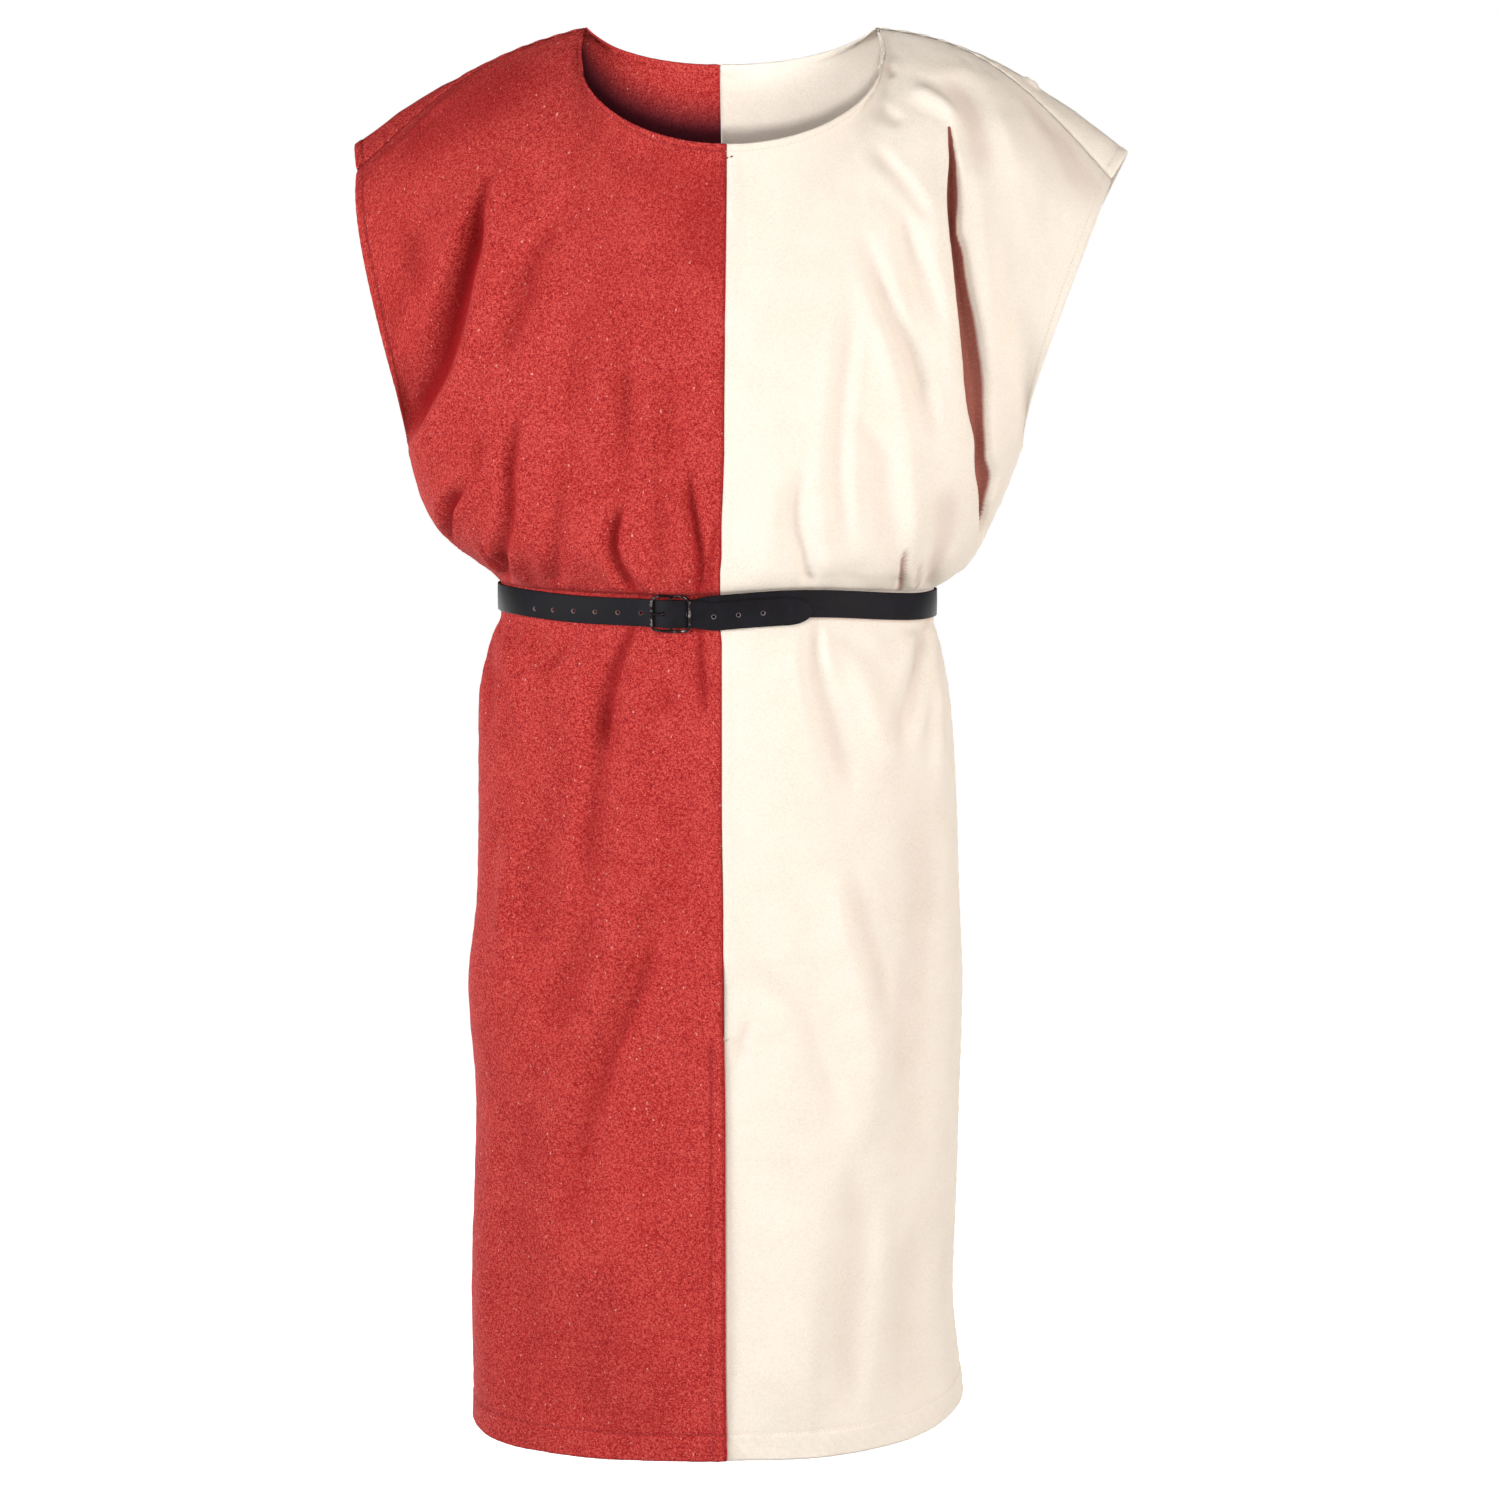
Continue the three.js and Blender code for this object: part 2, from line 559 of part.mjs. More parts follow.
// The strap's run: s along the waist, out from the cloth, drop below the belt's own level.
function strapRun() {
  const { buckleX: at, gap, thickness } = belt;
  const resting = gap + thickness / 2;
  const layer = thickness + gap;
  const loop = buckle.barRadius + gap + thickness / 2;
  const run = [
    { s: at + belt.foldEnd, out: resting + layer },
    { s: at + 7, out: resting + layer + 0.2 },
    { s: at + 4.5, out: buckle.centreOut + loop - 1.0 },
  ];
  for (let turn = 78; turn <= 270; turn += 24) {
    const angle = radians(turn);
    run.push({ s: at + loop * Math.cos(angle), out: buckle.centreOut + loop * Math.sin(angle) });
  }
  const lapStart = waistLength + at - 34;
  for (let s = at + 4; s < lapStart; s += belt.aroundStep) run.push({ s, out: resting });
  const over = buckle.centreOut + loop + layer;
  const lap = [
    { s: -28, out: resting + 0.1 },
    { s: -22, out: resting + 0.8 },
    { s: -14, out: resting + 3.4 },
    { s: -8, out: over - 1.9 },
    { s: -3.5, out: over - 0.25 },
    { s: 0, out: over },
    { s: 4, out: over - 0.3 },
    { s: 9, out: over - 1.9 },
    { s: 14, out: over - 3.5 },
    { s: 20, out: resting + layer + 0.5 },
    { s: 27, out: resting + layer },
  ];
  for (const row of lap) run.push({ s: waistLength + at + row.s, out: row.out });
  for (let s = 36; s <= belt.tipPast - belt.tipLength; s += 12) {
    run.push({ s: waistLength + at + s, out: resting + layer });
  }
  for (const share of [0.2, 0.45, 0.65, 0.82, 0.94, 0.985]) {
    run.push({ s: waistLength + at + belt.tipPast - belt.tipLength * (1 - share), out: resting + layer });
  }
  return run;
}

// Half the strap's width: full up to the tip, then a pointed arch.
function strapHalfWidth(s) {
  const toTip = waistLength + belt.buckleX + belt.tipPast - s;
  const share = clamp01(1 - toTip / belt.tipLength);
  return (belt.width / 2) * Math.sqrt(1 - share ** 2.2);
}

// The under layer rises past the buckle and the lap sinks, so that the under one shows above it.
function strapRise(s) {
  const pastBuckle = smooth((s - belt.buckleX - belt.underRise.from) / belt.underRise.reach);
  const lapStart = waistLength + belt.buckleX;
  const beforeLap = smooth((lapStart - belt.underFall.from - s) / belt.underFall.reach);
  const alongLap = smooth((s - lapStart - belt.lapSagFrom) / belt.lapSagReach);
  return -belt.lapDrop * (1 - pastBuckle * beforeLap) - belt.lapSag * alongLap;
}

function strapGeometry() {
  const run = strapRun();
  const half = belt.thickness / 2;
  const rings = run.map((station, i) => {
    const before = run[Math.max(0, i - 1)];
    const after = run[Math.min(run.length - 1, i + 1)];
    const length = Math.hypot(after.s - before.s, after.out - before.out);
    const [alongS, alongOut] = [(after.s - before.s) / length, (after.out - before.out) / length];
    const reach = strapHalfWidth(station.s);
    const rise = strapRise(station.s);
    const corner = (layer, edge) => aroundWaist(
      station.s - alongOut * half * layer, station.out + alongS * half * layer, rise + edge * reach);
    return [corner(1, -1), corner(1, 1), corner(-1, 1), corner(-1, -1)];
  });
  return closedBody(rings);
}

// A round rod along points given as s, out and height.
function rod(path, radius, sides, closedLoop = false) {
  const points = path.map((p) => aroundWaist(p.s, p.out, p.z));
  const level = path.every((p) => p.z === path[0].z);
  const reference = level ? new THREE.Vector3(0, 0, 1) : new THREE.Vector3(0, -1, 0);
  const rings = points.map((point, i) => {
    const n = points.length;
    const before = closedLoop ? points[(i - 1 + n) % n] : points[Math.max(0, i - 1)];
    const after = closedLoop ? points[(i + 1) % n] : points[Math.min(n - 1, i + 1)];
    const along = new THREE.Vector3().subVectors(after, before).normalize();
    const first = reference.clone().addScaledVector(along, -along.dot(reference)).normalize();
    const second = new THREE.Vector3().crossVectors(along, first);
    return Array.from({ length: sides }, (_, k) => {
      const angle = (2 * Math.PI * k) / sides;
      const [a, b] = [radius * Math.cos(angle), radius * Math.sin(angle)];
      return point.clone().addScaledVector(first, a).addScaledVector(second, b);
    });
  });
  return closedBody(rings, closedLoop);
}

// Frame: a rounded rectangle whose long sides bulge, bowed so that the end bars stand out.
function buckleFrame() {
  const { halfWidth, halfHeight, bulge, barRadius, centreOut, sideRise } = buckle;
  const steps = 40;
  const squareness = 0.3;
  const path = Array.from({ length: steps }, (_, i) => {
    const angle = (2 * Math.PI * (i + 0.5)) / steps;
    const [c, s] = [Math.cos(angle), Math.sin(angle)];
    const across = halfWidth * Math.sign(c) * Math.abs(c) ** squareness;
    const share = (across / halfWidth) ** 2;
    const up = Math.sign(s) * Math.abs(s) ** squareness * (halfHeight + bulge * (1 - share));
    return { s: belt.buckleX + across, out: centreOut + sideRise * share, z: up - belt.lapDrop };
  });
  const loop = toSolid(rod(path, barRadius, 8, true));
  const barEnd = halfHeight + bulge;
  const bar = toSolid(rod([
    { s: belt.buckleX, out: centreOut, z: -barEnd - belt.lapDrop },
    { s: belt.buckleX, out: centreOut, z: barEnd - belt.lapDrop },
  ], barRadius, 10));
  return loop.add(bar);
}

// Prong: a ring round the centre bar and a rod through the hole to the end bar.
function buckleProng(extra) {
  const at = belt.buckleX;
  const z = -belt.lapDrop;
  const { centreOut, ringRadius, ringRodRadius, prongRadius, sideRise, barRadius, halfWidth } = buckle;
  const ringSteps = 14;
  const ring = toSolid(rod(Array.from({ length: ringSteps }, (_, i) => {
    const angle = (2 * Math.PI * i) / ringSteps;
    return { s: at + ringRadius * Math.cos(angle), out: centreOut + ringRadius * Math.sin(angle), z };
  }), ringRodRadius + extra, 8, true));
  const restOut = centreOut + sideRise + barRadius + prongRadius + belt.gap;
  const tongue = toSolid(rod([
    { s: at - ringRadius * 0.7, out: centreOut + ringRadius * 0.7, z },
    { s: at + belt.prongHole + 0.6, out: restOut - 2.6, z },
    { s: at + belt.prongHole - 2.4, out: restOut - 0.2, z },
    { s: at - halfWidth + 2, out: restOut, z },
    { s: at - halfWidth - 0.8, out: restOut, z },
  ], prongRadius + extra, 8));
  return ring.add(tongue);
}

function strapHoles() {
  const drills = [];
  for (let k = -belt.holesBefore; k <= belt.holesAfter; k += 1) {
    if (k === 0) continue;
    const s = belt.buckleX + belt.prongHole + k * belt.holeSpacing;
    const z = k > 0 ? strapRise(waistLength + s) : belt.holeStepDown * k - belt.lapDrop;
    drills.push(toSolid(rod([
      { s, out: belt.gap + (k > 0 ? belt.thickness + belt.gap / 2 : -1), z },
      { s, out: belt.drillReach, z },
    ], belt.holeRadius, 8)));
  }
  return drills;
}

// ---------- the whole ----------

const garment = new THREE.Group();
garment.add(namedMesh('front_right_red', panel('front_right_red', 'red', 'front'), finish.red));
garment.add(namedMesh('front_left_cream', panel('front_left_cream', 'cream', 'front'), finish.cream));
garment.add(namedMesh('back_right_red', panel('back_right_red', 'red', 'back'), finish.red));
garment.add(namedMesh('back_left_cream', panel('back_left_cream', 'cream', 'back'), finish.cream));

const strapCuts = [...strapHoles(), buckleProng(belt.gap)];
const strap = strapCuts.reduce((solid, cut) => solid.subtract(cut), toSolid(strapGeometry()));
garment.add(namedMesh('belt_strap', fromSolid(strap), finish.leather));
garment.add(namedMesh('buckle_frame', fromSolid(buckleFrame()), finish.metal));
garment.add(namedMesh('buckle_prong', fromSolid(buckleProng(0)), finish.metal));

export default garment;
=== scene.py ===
import math

import bmesh
import bpy
import numpy as np
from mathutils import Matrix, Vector


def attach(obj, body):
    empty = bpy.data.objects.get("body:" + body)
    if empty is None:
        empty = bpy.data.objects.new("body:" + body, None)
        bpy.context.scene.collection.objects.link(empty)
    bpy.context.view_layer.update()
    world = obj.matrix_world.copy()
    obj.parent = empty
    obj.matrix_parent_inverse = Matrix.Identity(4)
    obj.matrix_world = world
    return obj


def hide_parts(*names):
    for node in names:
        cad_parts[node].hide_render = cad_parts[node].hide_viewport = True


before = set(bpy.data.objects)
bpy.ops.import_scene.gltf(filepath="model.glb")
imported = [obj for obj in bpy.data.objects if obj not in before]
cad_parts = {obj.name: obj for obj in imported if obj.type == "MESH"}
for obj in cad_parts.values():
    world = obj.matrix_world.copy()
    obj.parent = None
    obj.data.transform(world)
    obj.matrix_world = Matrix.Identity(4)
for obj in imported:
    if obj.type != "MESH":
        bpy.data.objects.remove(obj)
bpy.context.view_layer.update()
mm = 0.001
rootBody = "root"
print("frame loaded")

# Camera, floor and lights. Everything is in metres, and the garment faces -Y.
studio = {
    "cameraAt": (0.020, -3.0, -0.160),
    "pitchDown": 7.4,
    "lens": 94.1,
    "viewDepth": 200,
    "floorLevel": -1.45,
    "floorSize": 60.0,
    "floorGlow": 0.95,
    "lightsAim": (0.0, 0.0, -0.45),
    "lightsAway": 3.0,
    "worldLight": 0.06,
    "worldTint": (1.0, 0.86, 0.84, 1.0),
}
# Soft boxes: turn is from straight ahead towards +X and rise is above level, in degrees.
# One with a cone is a spot, and one with a "lights" word reaches only the panels whose
# names hold that word. The tint is white where none is given.
softLights = [
    {"name": "key", "turn": -20, "rise": 14, "size": 1.0, "watts": 32.5},
    {"name": "left", "turn": -60, "rise": 4, "size": 1.0, "watts": 44,
     "away": 2.4, "aim": (0.0, 0.0, -0.42)},
    {"name": "right", "turn": 40, "rise": 10, "size": 1.0, "watts": 25, "tint": (1.0, 0.96, 0.93)},
    {"name": "far_right", "turn": 60, "rise": 2, "size": 1.0, "watts": 45, "tint": (1.0, 0.93, 0.88)},
    {"name": "behind_left", "turn": 215, "rise": -20, "size": 1.4, "watts": 50},
    {"name": "behind_right", "turn": 150, "rise": -20, "size": 1.4, "watts": 44},
    {"name": "above", "turn": 30, "rise": 72, "size": 1.2, "watts": 5, "tint": (1.0, 0.86, 0.72)},
    {"name": "low", "turn": 30, "rise": -34, "size": 1.4, "watts": 12, "tint": (1.0, 0.96, 0.9)},
    {"name": "collar", "turn": 0, "rise": -5.5, "size": 0.25, "watts": 330, "tint": (1.0, 0.98, 0.96),
     "lights": "back", "cone": 5.6, "blend": 0.6, "aim": (0.005, 0.065, -0.02)},
]


def placeCamera():
    data = bpy.data.cameras.new("camera")
    data.lens = studio["lens"]
    data.clip_end = studio["viewDepth"]
    camera = bpy.data.objects.new("camera", data)
    camera.location = studio["cameraAt"]
    camera.rotation_euler = (math.radians(90 - studio["pitchDown"]), 0, 0)
    bpy.context.scene.collection.objects.link(camera)
    bpy.context.scene.camera = camera


def placeLight(light):
    data = bpy.data.lights.new(light["name"], "SPOT" if "cone" in light else "AREA")
    if "cone" in light:
        data.spot_size, data.spot_blend = math.radians(light["cone"]), light["blend"]
        data.shadow_soft_size = light["size"] / 2
    else:
        data.shape = "SQUARE"
        data.size = light["size"]
    data.energy = light["watts"]
    data.color = light.get("tint", (1.0, 1.0, 1.0))
    lamp = bpy.data.objects.new(light["name"], data)
    turn, rise = math.radians(light["turn"]), math.radians(light["rise"])
    away = Vector((math.sin(turn) * math.cos(rise), -math.cos(turn) * math.cos(rise), math.sin(rise)))
    aim, distance = light.get("aim", studio["lightsAim"]), light.get("away", studio["lightsAway"])
    lamp.location = Vector(aim) + away * distance
    lamp.rotation_euler = away.to_track_quat("Z", "Y").to_euler()
    bpy.context.scene.collection.objects.link(lamp)
    return lamp


def placeWorld():
    world = bpy.data.worlds.new("studio")
    world.use_nodes = True
    tree = world.node_tree
    tree.nodes.clear()
    seen = tree.nodes.new("ShaderNodeBackground")  # what shows behind the garment
    seen.inputs["Strength"].default_value = 1.0
    seen.inputs["Color"].default_value = (1, 1, 1, 1)
    soft = tree.nodes.new("ShaderNodeBackground")  # what lights it
    soft.inputs["Strength"].default_value = studio["worldLight"]
    soft.inputs["Color"].default_value = studio["worldTint"]
    ray = tree.nodes.new("ShaderNodeLightPath")
    mix = tree.nodes.new("ShaderNodeMixShader")
    out = tree.nodes.new("ShaderNodeOutputWorld")
    tree.links.new(ray.outputs["Is Camera Ray"], mix.inputs["Fac"])
    tree.links.new(soft.outputs["Background"], mix.inputs[1])
    tree.links.new(seen.outputs["Background"], mix.inputs[2])
    tree.links.new(mix.outputs["Shader"], out.inputs["Surface"])
    bpy.context.scene.world = world


placeCamera()
placeWorld()
lamps = {light["name"]: placeLight(light) for light in softLights}
bpy.context.scene.view_settings.view_transform = "Standard"
print("camera and lights placed")


class Value:
    # A shader socket that takes part in sums.
    def __init__(self, look, socket):
        self.look = look
        self.socket = socket

    def maths(self, operation, *others):
        sockets = dict(enumerate((self,) + others))
        return self.look.node("ShaderNodeMath", {"operation": operation}, sockets)

    def __add__(self, other):
        return self.maths("ADD", other)

    def __mul__(self, other):
        return self.maths("MULTIPLY", other)

    def __sub__(self, other):
        return self.maths("SUBTRACT", other)

    def __rsub__(self, other):
        return self.look.node("ShaderNodeMath", {"operation": "SUBTRACT"}, {0: other, 1: self})

    __radd__ = __add__
    __rmul__ = __mul__

    def sine(self):
        return self.maths("SINE")

    def between(self, low, high):
        sockets = {"Value": self, "From Min": low, "From Max": high}
        return self.look.node("ShaderNodeMapRange", {"interpolation_type": "SMOOTHSTEP"}, sockets)


class Look:
    # One material and the nodes in it.
    def __init__(self, name):
        self.material = bpy.data.materials.new(name)
        self.material.use_nodes = True
        self.tree = self.material.node_tree
        self.tree.nodes.clear()

    def node(self, kind, settings=None, sockets=None, output=0):
        made = self.tree.nodes.new(kind)
        for key, value in (settings or {}).items():
            setattr(made, key, value)
        for key, value in (sockets or {}).items():
            if isinstance(value, Value):
                self.tree.links.new(value.socket, made.inputs[key])
            else:
                made.inputs[key].default_value = value
        return Value(self, made.outputs[output])

    def objectPlace(self):
        return self.node("ShaderNodeTexCoord", None, None, 3)

    def attribute(self, name):
        return self.node("ShaderNodeAttribute", {"attribute_name": name}, None, 2)

    def blend(self, share, first, second):
        settings = {"data_type": "RGBA", "blend_type": "MIX"}
        return self.node("ShaderNodeMix", settings, {0: share, 6: first, 7: second}, 2)

    def noise(self, place, scale, detail=2.0, rough=0.5):
        sockets = {"Vector": place, "Scale": scale, "Detail": detail, "Roughness": rough}
        return self.node("ShaderNodeTexNoise", None, sockets)

    def stretched(self, place, scale):
        return self.node("ShaderNodeMapping", None, {"Vector": place, "Scale": scale})

    def bump(self, height, distance):
        sockets = {"Height": height, "Distance": distance, "Strength": 1.0}
        return self.node("ShaderNodeBump", None, sockets)

    def finish(self, sockets):
        surface = self.node("ShaderNodeBsdfPrincipled", None, sockets)
        out = self.tree.nodes.new("ShaderNodeOutputMaterial")
        self.tree.links.new(surface.socket, out.inputs["Surface"])
        return self.material


def tone(red, green, blue):
    # A colour as seen on screen, 0 to 255, as the shader's linear colour.
    shares = [c / 255 for c in (red, green, blue)]
    linear = [((c + 0.055) / 1.055) ** 2.4 if c > 10 / 255 else c / 12.92 for c in shares]
    return (*linear, 1.0)


# The weave, for both colours: sizes in metres, stretches and clouds as spots to a metre, and
# pairs that say where a mask starts and where it is full.
weave = {
    "threadPitch": 0.00075, "mottle": 0.002, "speckle": 0.0008,
    "warp": (1500, 260, 1), "weft": (240, 1400, 1), "slub": (420, 260, 1), "clouds": 28,
    "threadShare": 0.2, "mottleShare": 0.3, "speckleShare": 0.3, "cloudShare": 0.35, "contrast": 2.6,
    "darkToMain": (0.0, 0.62), "mainToLight": (0.5, 1.0), "slubMask": (0.77, 0.82), "fleckMask": (0.4, 0.6),
    # The next two: where the painted shade on a fold mouth's floor ends, and how much the mottle breaks it
    # up.
    "foldMask": (0.9, 1.16), "foldMottle": 0.5,
    "bump": 0.00016, "cordHeight": 0.5, "threadHeight": 0.6, "mottleHeight": 0.5,
    "roughness": 0.92, "sheen": 0.08,
}
# Of each cotton's colours, the fourth and fifth are painted shade, not dye: the fourth darkens folds,
# seams, hems and the cloth under the belt and the lap, the fifth the inner back below the front neck.
redCotton = {
    "light": tone(212, 88, 82), "main": tone(193, 60, 57), "dark": tone(144, 28, 32),
    "fold": tone(140, 15, 21), "inside": tone(64, 22, 34), "fleck": tone(236, 180, 172),
    "contrast": 1.55, "flecks": 0.7, "thread": tone(120, 24, 30),
}
creamCotton = {
    "light": tone(251, 245, 235), "main": tone(247, 239, 227), "dark": tone(235, 221, 204),
    "fold": tone(160, 96, 84), "inside": tone(182, 170, 150), "fleck": tone(255, 253, 248),
    "contrast": 0.6, "flecks": 0.2, "thread": tone(240, 226, 208),
}


def clothLook(name, dyeAndShade):
    look = Look(name)
    place = look.node("ShaderNodeUVMap", {"uv_map": "grain"})
    across, along = (look.node("ShaderNodeSeparateXYZ", None, {0: place}, axis) for axis in (0, 1))
    warp, weft = (look.noise(look.stretched(place, weave[key]), 1.0, 2.0, 0.6) for key in ("warp", "weft"))
    mottle = look.noise(place, 1 / weave["mottle"], 4.0, 0.75)
    clouds = look.noise(place, weave["clouds"])
    slub = look.noise(look.stretched(place, weave["slub"]), 1.0, 0.0, 0.3)
    speckle = look.node("ShaderNodeTexVoronoi", None, {"Vector": place, "Scale": 1 / weave["speckle"]}, 1)
    threads = warp + weft
    mixed = threads * weave["threadShare"] + mottle * weave["mottleShare"] + speckle * weave["speckleShare"]
    spread = (mixed - 0.5) * (weave["contrast"] * dyeAndShade["contrast"])
    spread = 0.5 + spread + (clouds - 0.5) * weave["cloudShare"]
    colour = look.blend(spread.between(*weave["darkToMain"]), dyeAndShade["dark"], dyeAndShade["main"])
    colour = look.blend(spread.between(*weave["mainToLight"]), colour, dyeAndShade["light"])
    fleck = slub.between(*weave["slubMask"]) * speckle.between(*weave["fleckMask"]) * dyeAndShade["flecks"]
    colour = look.blend(fleck, colour, dyeAndShade["fleck"])
    # Painted shade: the fold mouth's floor, broken a little by the mottle, then folds, stitching, seams,
    # belt and lap, and the inner back below the neck darken towards the shade colours.
    paintedMouthShade = 1 - look.attribute("mouth").between(*weave["foldMask"])
    paintedMouthShade = paintedMouthShade * (1 - (mottle - 0.5) * weave["foldMottle"])
    colour = look.blend(look.attribute("crease"), colour, dyeAndShade["fold"])
    colour = look.blend(paintedMouthShade, colour, dyeAndShade["fold"])
    colour = look.blend(look.attribute("inShade"), colour, dyeAndShade["inside"])
    turns = 2 * math.pi / weave["threadPitch"]
    cords = (across * turns).sine() * (along * turns).sine()
    height = cords * weave["cordHeight"] + threads * weave["threadHeight"] + mottle * weave["mottleHeight"]
    return look.finish({
        "Base Color": colour, "Roughness": weave["roughness"], "Specular IOR Level": weave["sheen"],
        "Normal": look.bump(height, weave["bump"]),
    })


thread = {"twist": 2600, "mask": (0.3, 0.7), "darker": 0.75, "roughness": 0.7, "bump": 0.0001}


def threadLook(name, colour):
    look = Look(name)
    twist = look.noise(look.objectPlace(), thread["twist"], 1.0)
    dark = tuple(c * thread["darker"] for c in colour[:3]) + (1,)
    shade = look.blend(twist.between(*thread["mask"]), dark, colour)
    relief = look.bump(twist, thread["bump"])
    return look.finish({"Base Color": shade, "Roughness": thread["roughness"], "Normal": relief})


leather = {
    "main": tone(6, 5, 8), "worn": tone(18, 17, 26), "edge": tone(36, 28, 26),
    "wear": 55, "wearMask": (0.35, 0.75), "grain": 900, "pores": 1500,
    "grainHeight": 0.7, "poreHeight": 0.4, "bump": 0.00012,
    "roughness": 0.5, "wornRougher": 0.2, "edgeRougher": 0.1, "sheen": 0.12,
    "cutDark": tone(96, 84, 84), "cutLight": tone(150, 138, 138), "cutFibres": 1800, "cutMask": (0.3, 0.7),
    "cutRoughness": 0.9, "cutBump": 0.0001,
}


def leatherLook(name):
    look = Look(name)
    place, edge = look.objectPlace(), look.attribute("edge")
    sockets = {"Vector": place, "Scale": leather["grain"]}
    grain = look.node("ShaderNodeTexVoronoi", {"feature": "SMOOTH_F1"}, sockets)
    pores = look.noise(place, leather["pores"])
    wear = look.noise(place, leather["wear"], 4.0, 0.65)
    colour = look.blend(wear.between(*leather["wearMask"]), leather["main"], leather["worn"])
    colour = look.blend(edge, colour, leather["edge"])
    rough = leather["roughness"] + wear * leather["wornRougher"] + edge * leather["edgeRougher"]
    relief = look.bump(grain * leather["grainHeight"] + pores * leather["poreHeight"], leather["bump"])
    return look.finish({
        "Base Color": colour, "Roughness": rough, "Specular IOR Level": leather["sheen"], "Normal": relief,
    })


def cutLeatherLook(name):
    # The pale raw leather inside the punched holes.
    look = Look(name)
    fibres = look.noise(look.objectPlace(), leather["cutFibres"], 3.0, 0.6)
    colour = look.blend(fibres.between(*leather["cutMask"]), leather["cutDark"], leather["cutLight"])
    relief = look.bump(fibres, leather["cutBump"])
    return look.finish({"Base Color": colour, "Roughness": leather["cutRoughness"], "Normal": relief})


metal = {
    "dark": tone(26, 22, 23), "worn": tone(128, 120, 116), "patina": 260, "wornMask": (0.5, 0.72),
    "metallic": 0.9, "roughness": 0.5, "wornSmoother": 0.18, "bump": 0.00015,
}


def metalLook(name):
    look = Look(name)
    patina = look.noise(look.objectPlace(), metal["patina"], 4.0, 0.65)
    worn = patina.between(*metal["wornMask"])
    return look.finish({
        "Base Color": look.blend(worn, metal["dark"], metal["worn"]), "Metallic": metal["metallic"],
        "Roughness": metal["roughness"] - worn * metal["wornSmoother"],
        "Normal": look.bump(patina, metal["bump"]),
    })


def floorLook():
    look = Look("floor_paper")
    paper = look.noise(look.objectPlace(), 3.0, 3.0)
    return look.finish({
        "Base Color": look.blend(paper, tone(250, 250, 250), tone(254, 254, 254)), "Roughness": 0.95,
        "Emission Color": (1, 1, 1, 1), "Emission Strength": studio["floorGlow"],
    })


looks = {
    "red": clothLook("red_cotton", redCotton),
    "cream": clothLook("cream_cotton", creamCotton),
    "redThread": threadLook("red_thread", redCotton["thread"]),
    "creamThread": threadLook("cream_thread", creamCotton["thread"]),
    "leather": leatherLook("black_leather"),
    "cutLeather": cutLeatherLook("cut_leather"),
    "metal": metalLook("buckle_metal"),
}
print("materials built")


def smooth(t):
    t = np.clip(t, 0, 1)
    return t * t * (3 - 2 * t)


def bell(x):
    return np.exp(-(x**2))


def readTable(table, place):
    # Every column of a table at each place, on a smooth curve that never overshoots the rows.
    rows = np.array(table["rows"], float)
    at, place = rows[:, 0], np.asarray(place, float)
    rise = np.diff(rows, axis=0) / np.diff(at)[:, None]
    slope = np.vstack([rise[:1], np.zeros((len(rows) - 2, rows.shape[1])), rise[-1:]])
    left, right = rise[:-1], rise[1:]
    same = left * right > 0
    total = np.where(same, left + right, 1)
    slope[1:-1] = np.where(same, 2 * left * right / total, 0)
    i = np.clip(np.searchsorted(at, place, "right") - 1, 0, len(at) - 2)
    span = at[i + 1] - at[i]
    t = np.clip((place - at[i]) / span, 0, 1)
    values = {}
    for column, name in enumerate(table["columns"].split()):
        a, b = rows[i, column], rows[i + 1, column]
        slopeA, slopeB = slope[i, column] * span, slope[i + 1, column] * span
        values[name] = ((2 * t**3 - 3 * t**2 + 1) * a + (t**3 - 2 * t**2 + t) * slopeA
                        + (3 * t**2 - 2 * t**3) * b + (t**3 - t**2) * slopeB)
    return values


def spline(points, step):
    # A smooth curve through points, with a new point at about each step.
    points = np.asarray(points, float)
    if len(points) < 3:
        count = max(2, int(np.linalg.norm(points[-1] - points[0]) / step) + 1)
        return points[0] + (points[-1] - points[0]) * np.linspace(0, 1, count)[:, None]
    padded = np.vstack([2 * points[0] - points[1], points, 2 * points[-1] - points[-2]])
    gaps = np.maximum(np.linalg.norm(np.diff(padded, axis=0), axis=1), 1e-6) ** 0.5
    knots = np.concatenate([[0], np.cumsum(gaps)])
    made = []
    for k in range(1, len(padded) - 2):
        p0, p1, p2, p3 = padded[k - 1:k + 3]
        t0, t1, t2, t3 = knots[k - 1:k + 3]
        count = max(1, int(math.ceil(np.linalg.norm(p2 - p1) / step)))
        t = np.linspace(t1, t2, count, endpoint=False)[:, None]
        a1 = (t1 - t) / (t1 - t0) * p0 + (t - t0) / (t1 - t0) * p1
        a2 = (t2 - t) / (t2 - t1) * p1 + (t - t1) / (t2 - t1) * p2
        a3 = (t3 - t) / (t3 - t2) * p2 + (t - t2) / (t3 - t2) * p3
        b1 = (t2 - t) / (t2 - t0) * a1 + (t - t0) / (t2 - t0) * a2
        b2 = (t3 - t) / (t3 - t1) * a2 + (t - t1) / (t3 - t1) * a3
        made.append((t2 - t) / (t2 - t1) * b1 + (t - t1) / (t2 - t1) * b2)
    return np.vstack(made + [points[-1:]])


def ripples(across, along, size, seed, count=9):
    # Soft random relief of about one size, from -1 to 1 or a little more.
    draw = np.random.default_rng(seed)
    total = np.zeros(np.broadcast(across, along).shape)
    for _ in range(count):
        heading, wave = draw.uniform(0, math.pi), size * draw.uniform(0.7, 1.5)
        start = draw.uniform(0, 2 * math.pi)
        place = across * math.cos(heading) + along * math.sin(heading)
        total += np.sin(2 * math.pi * place / wave + start)
    return total / math.sqrt(count)


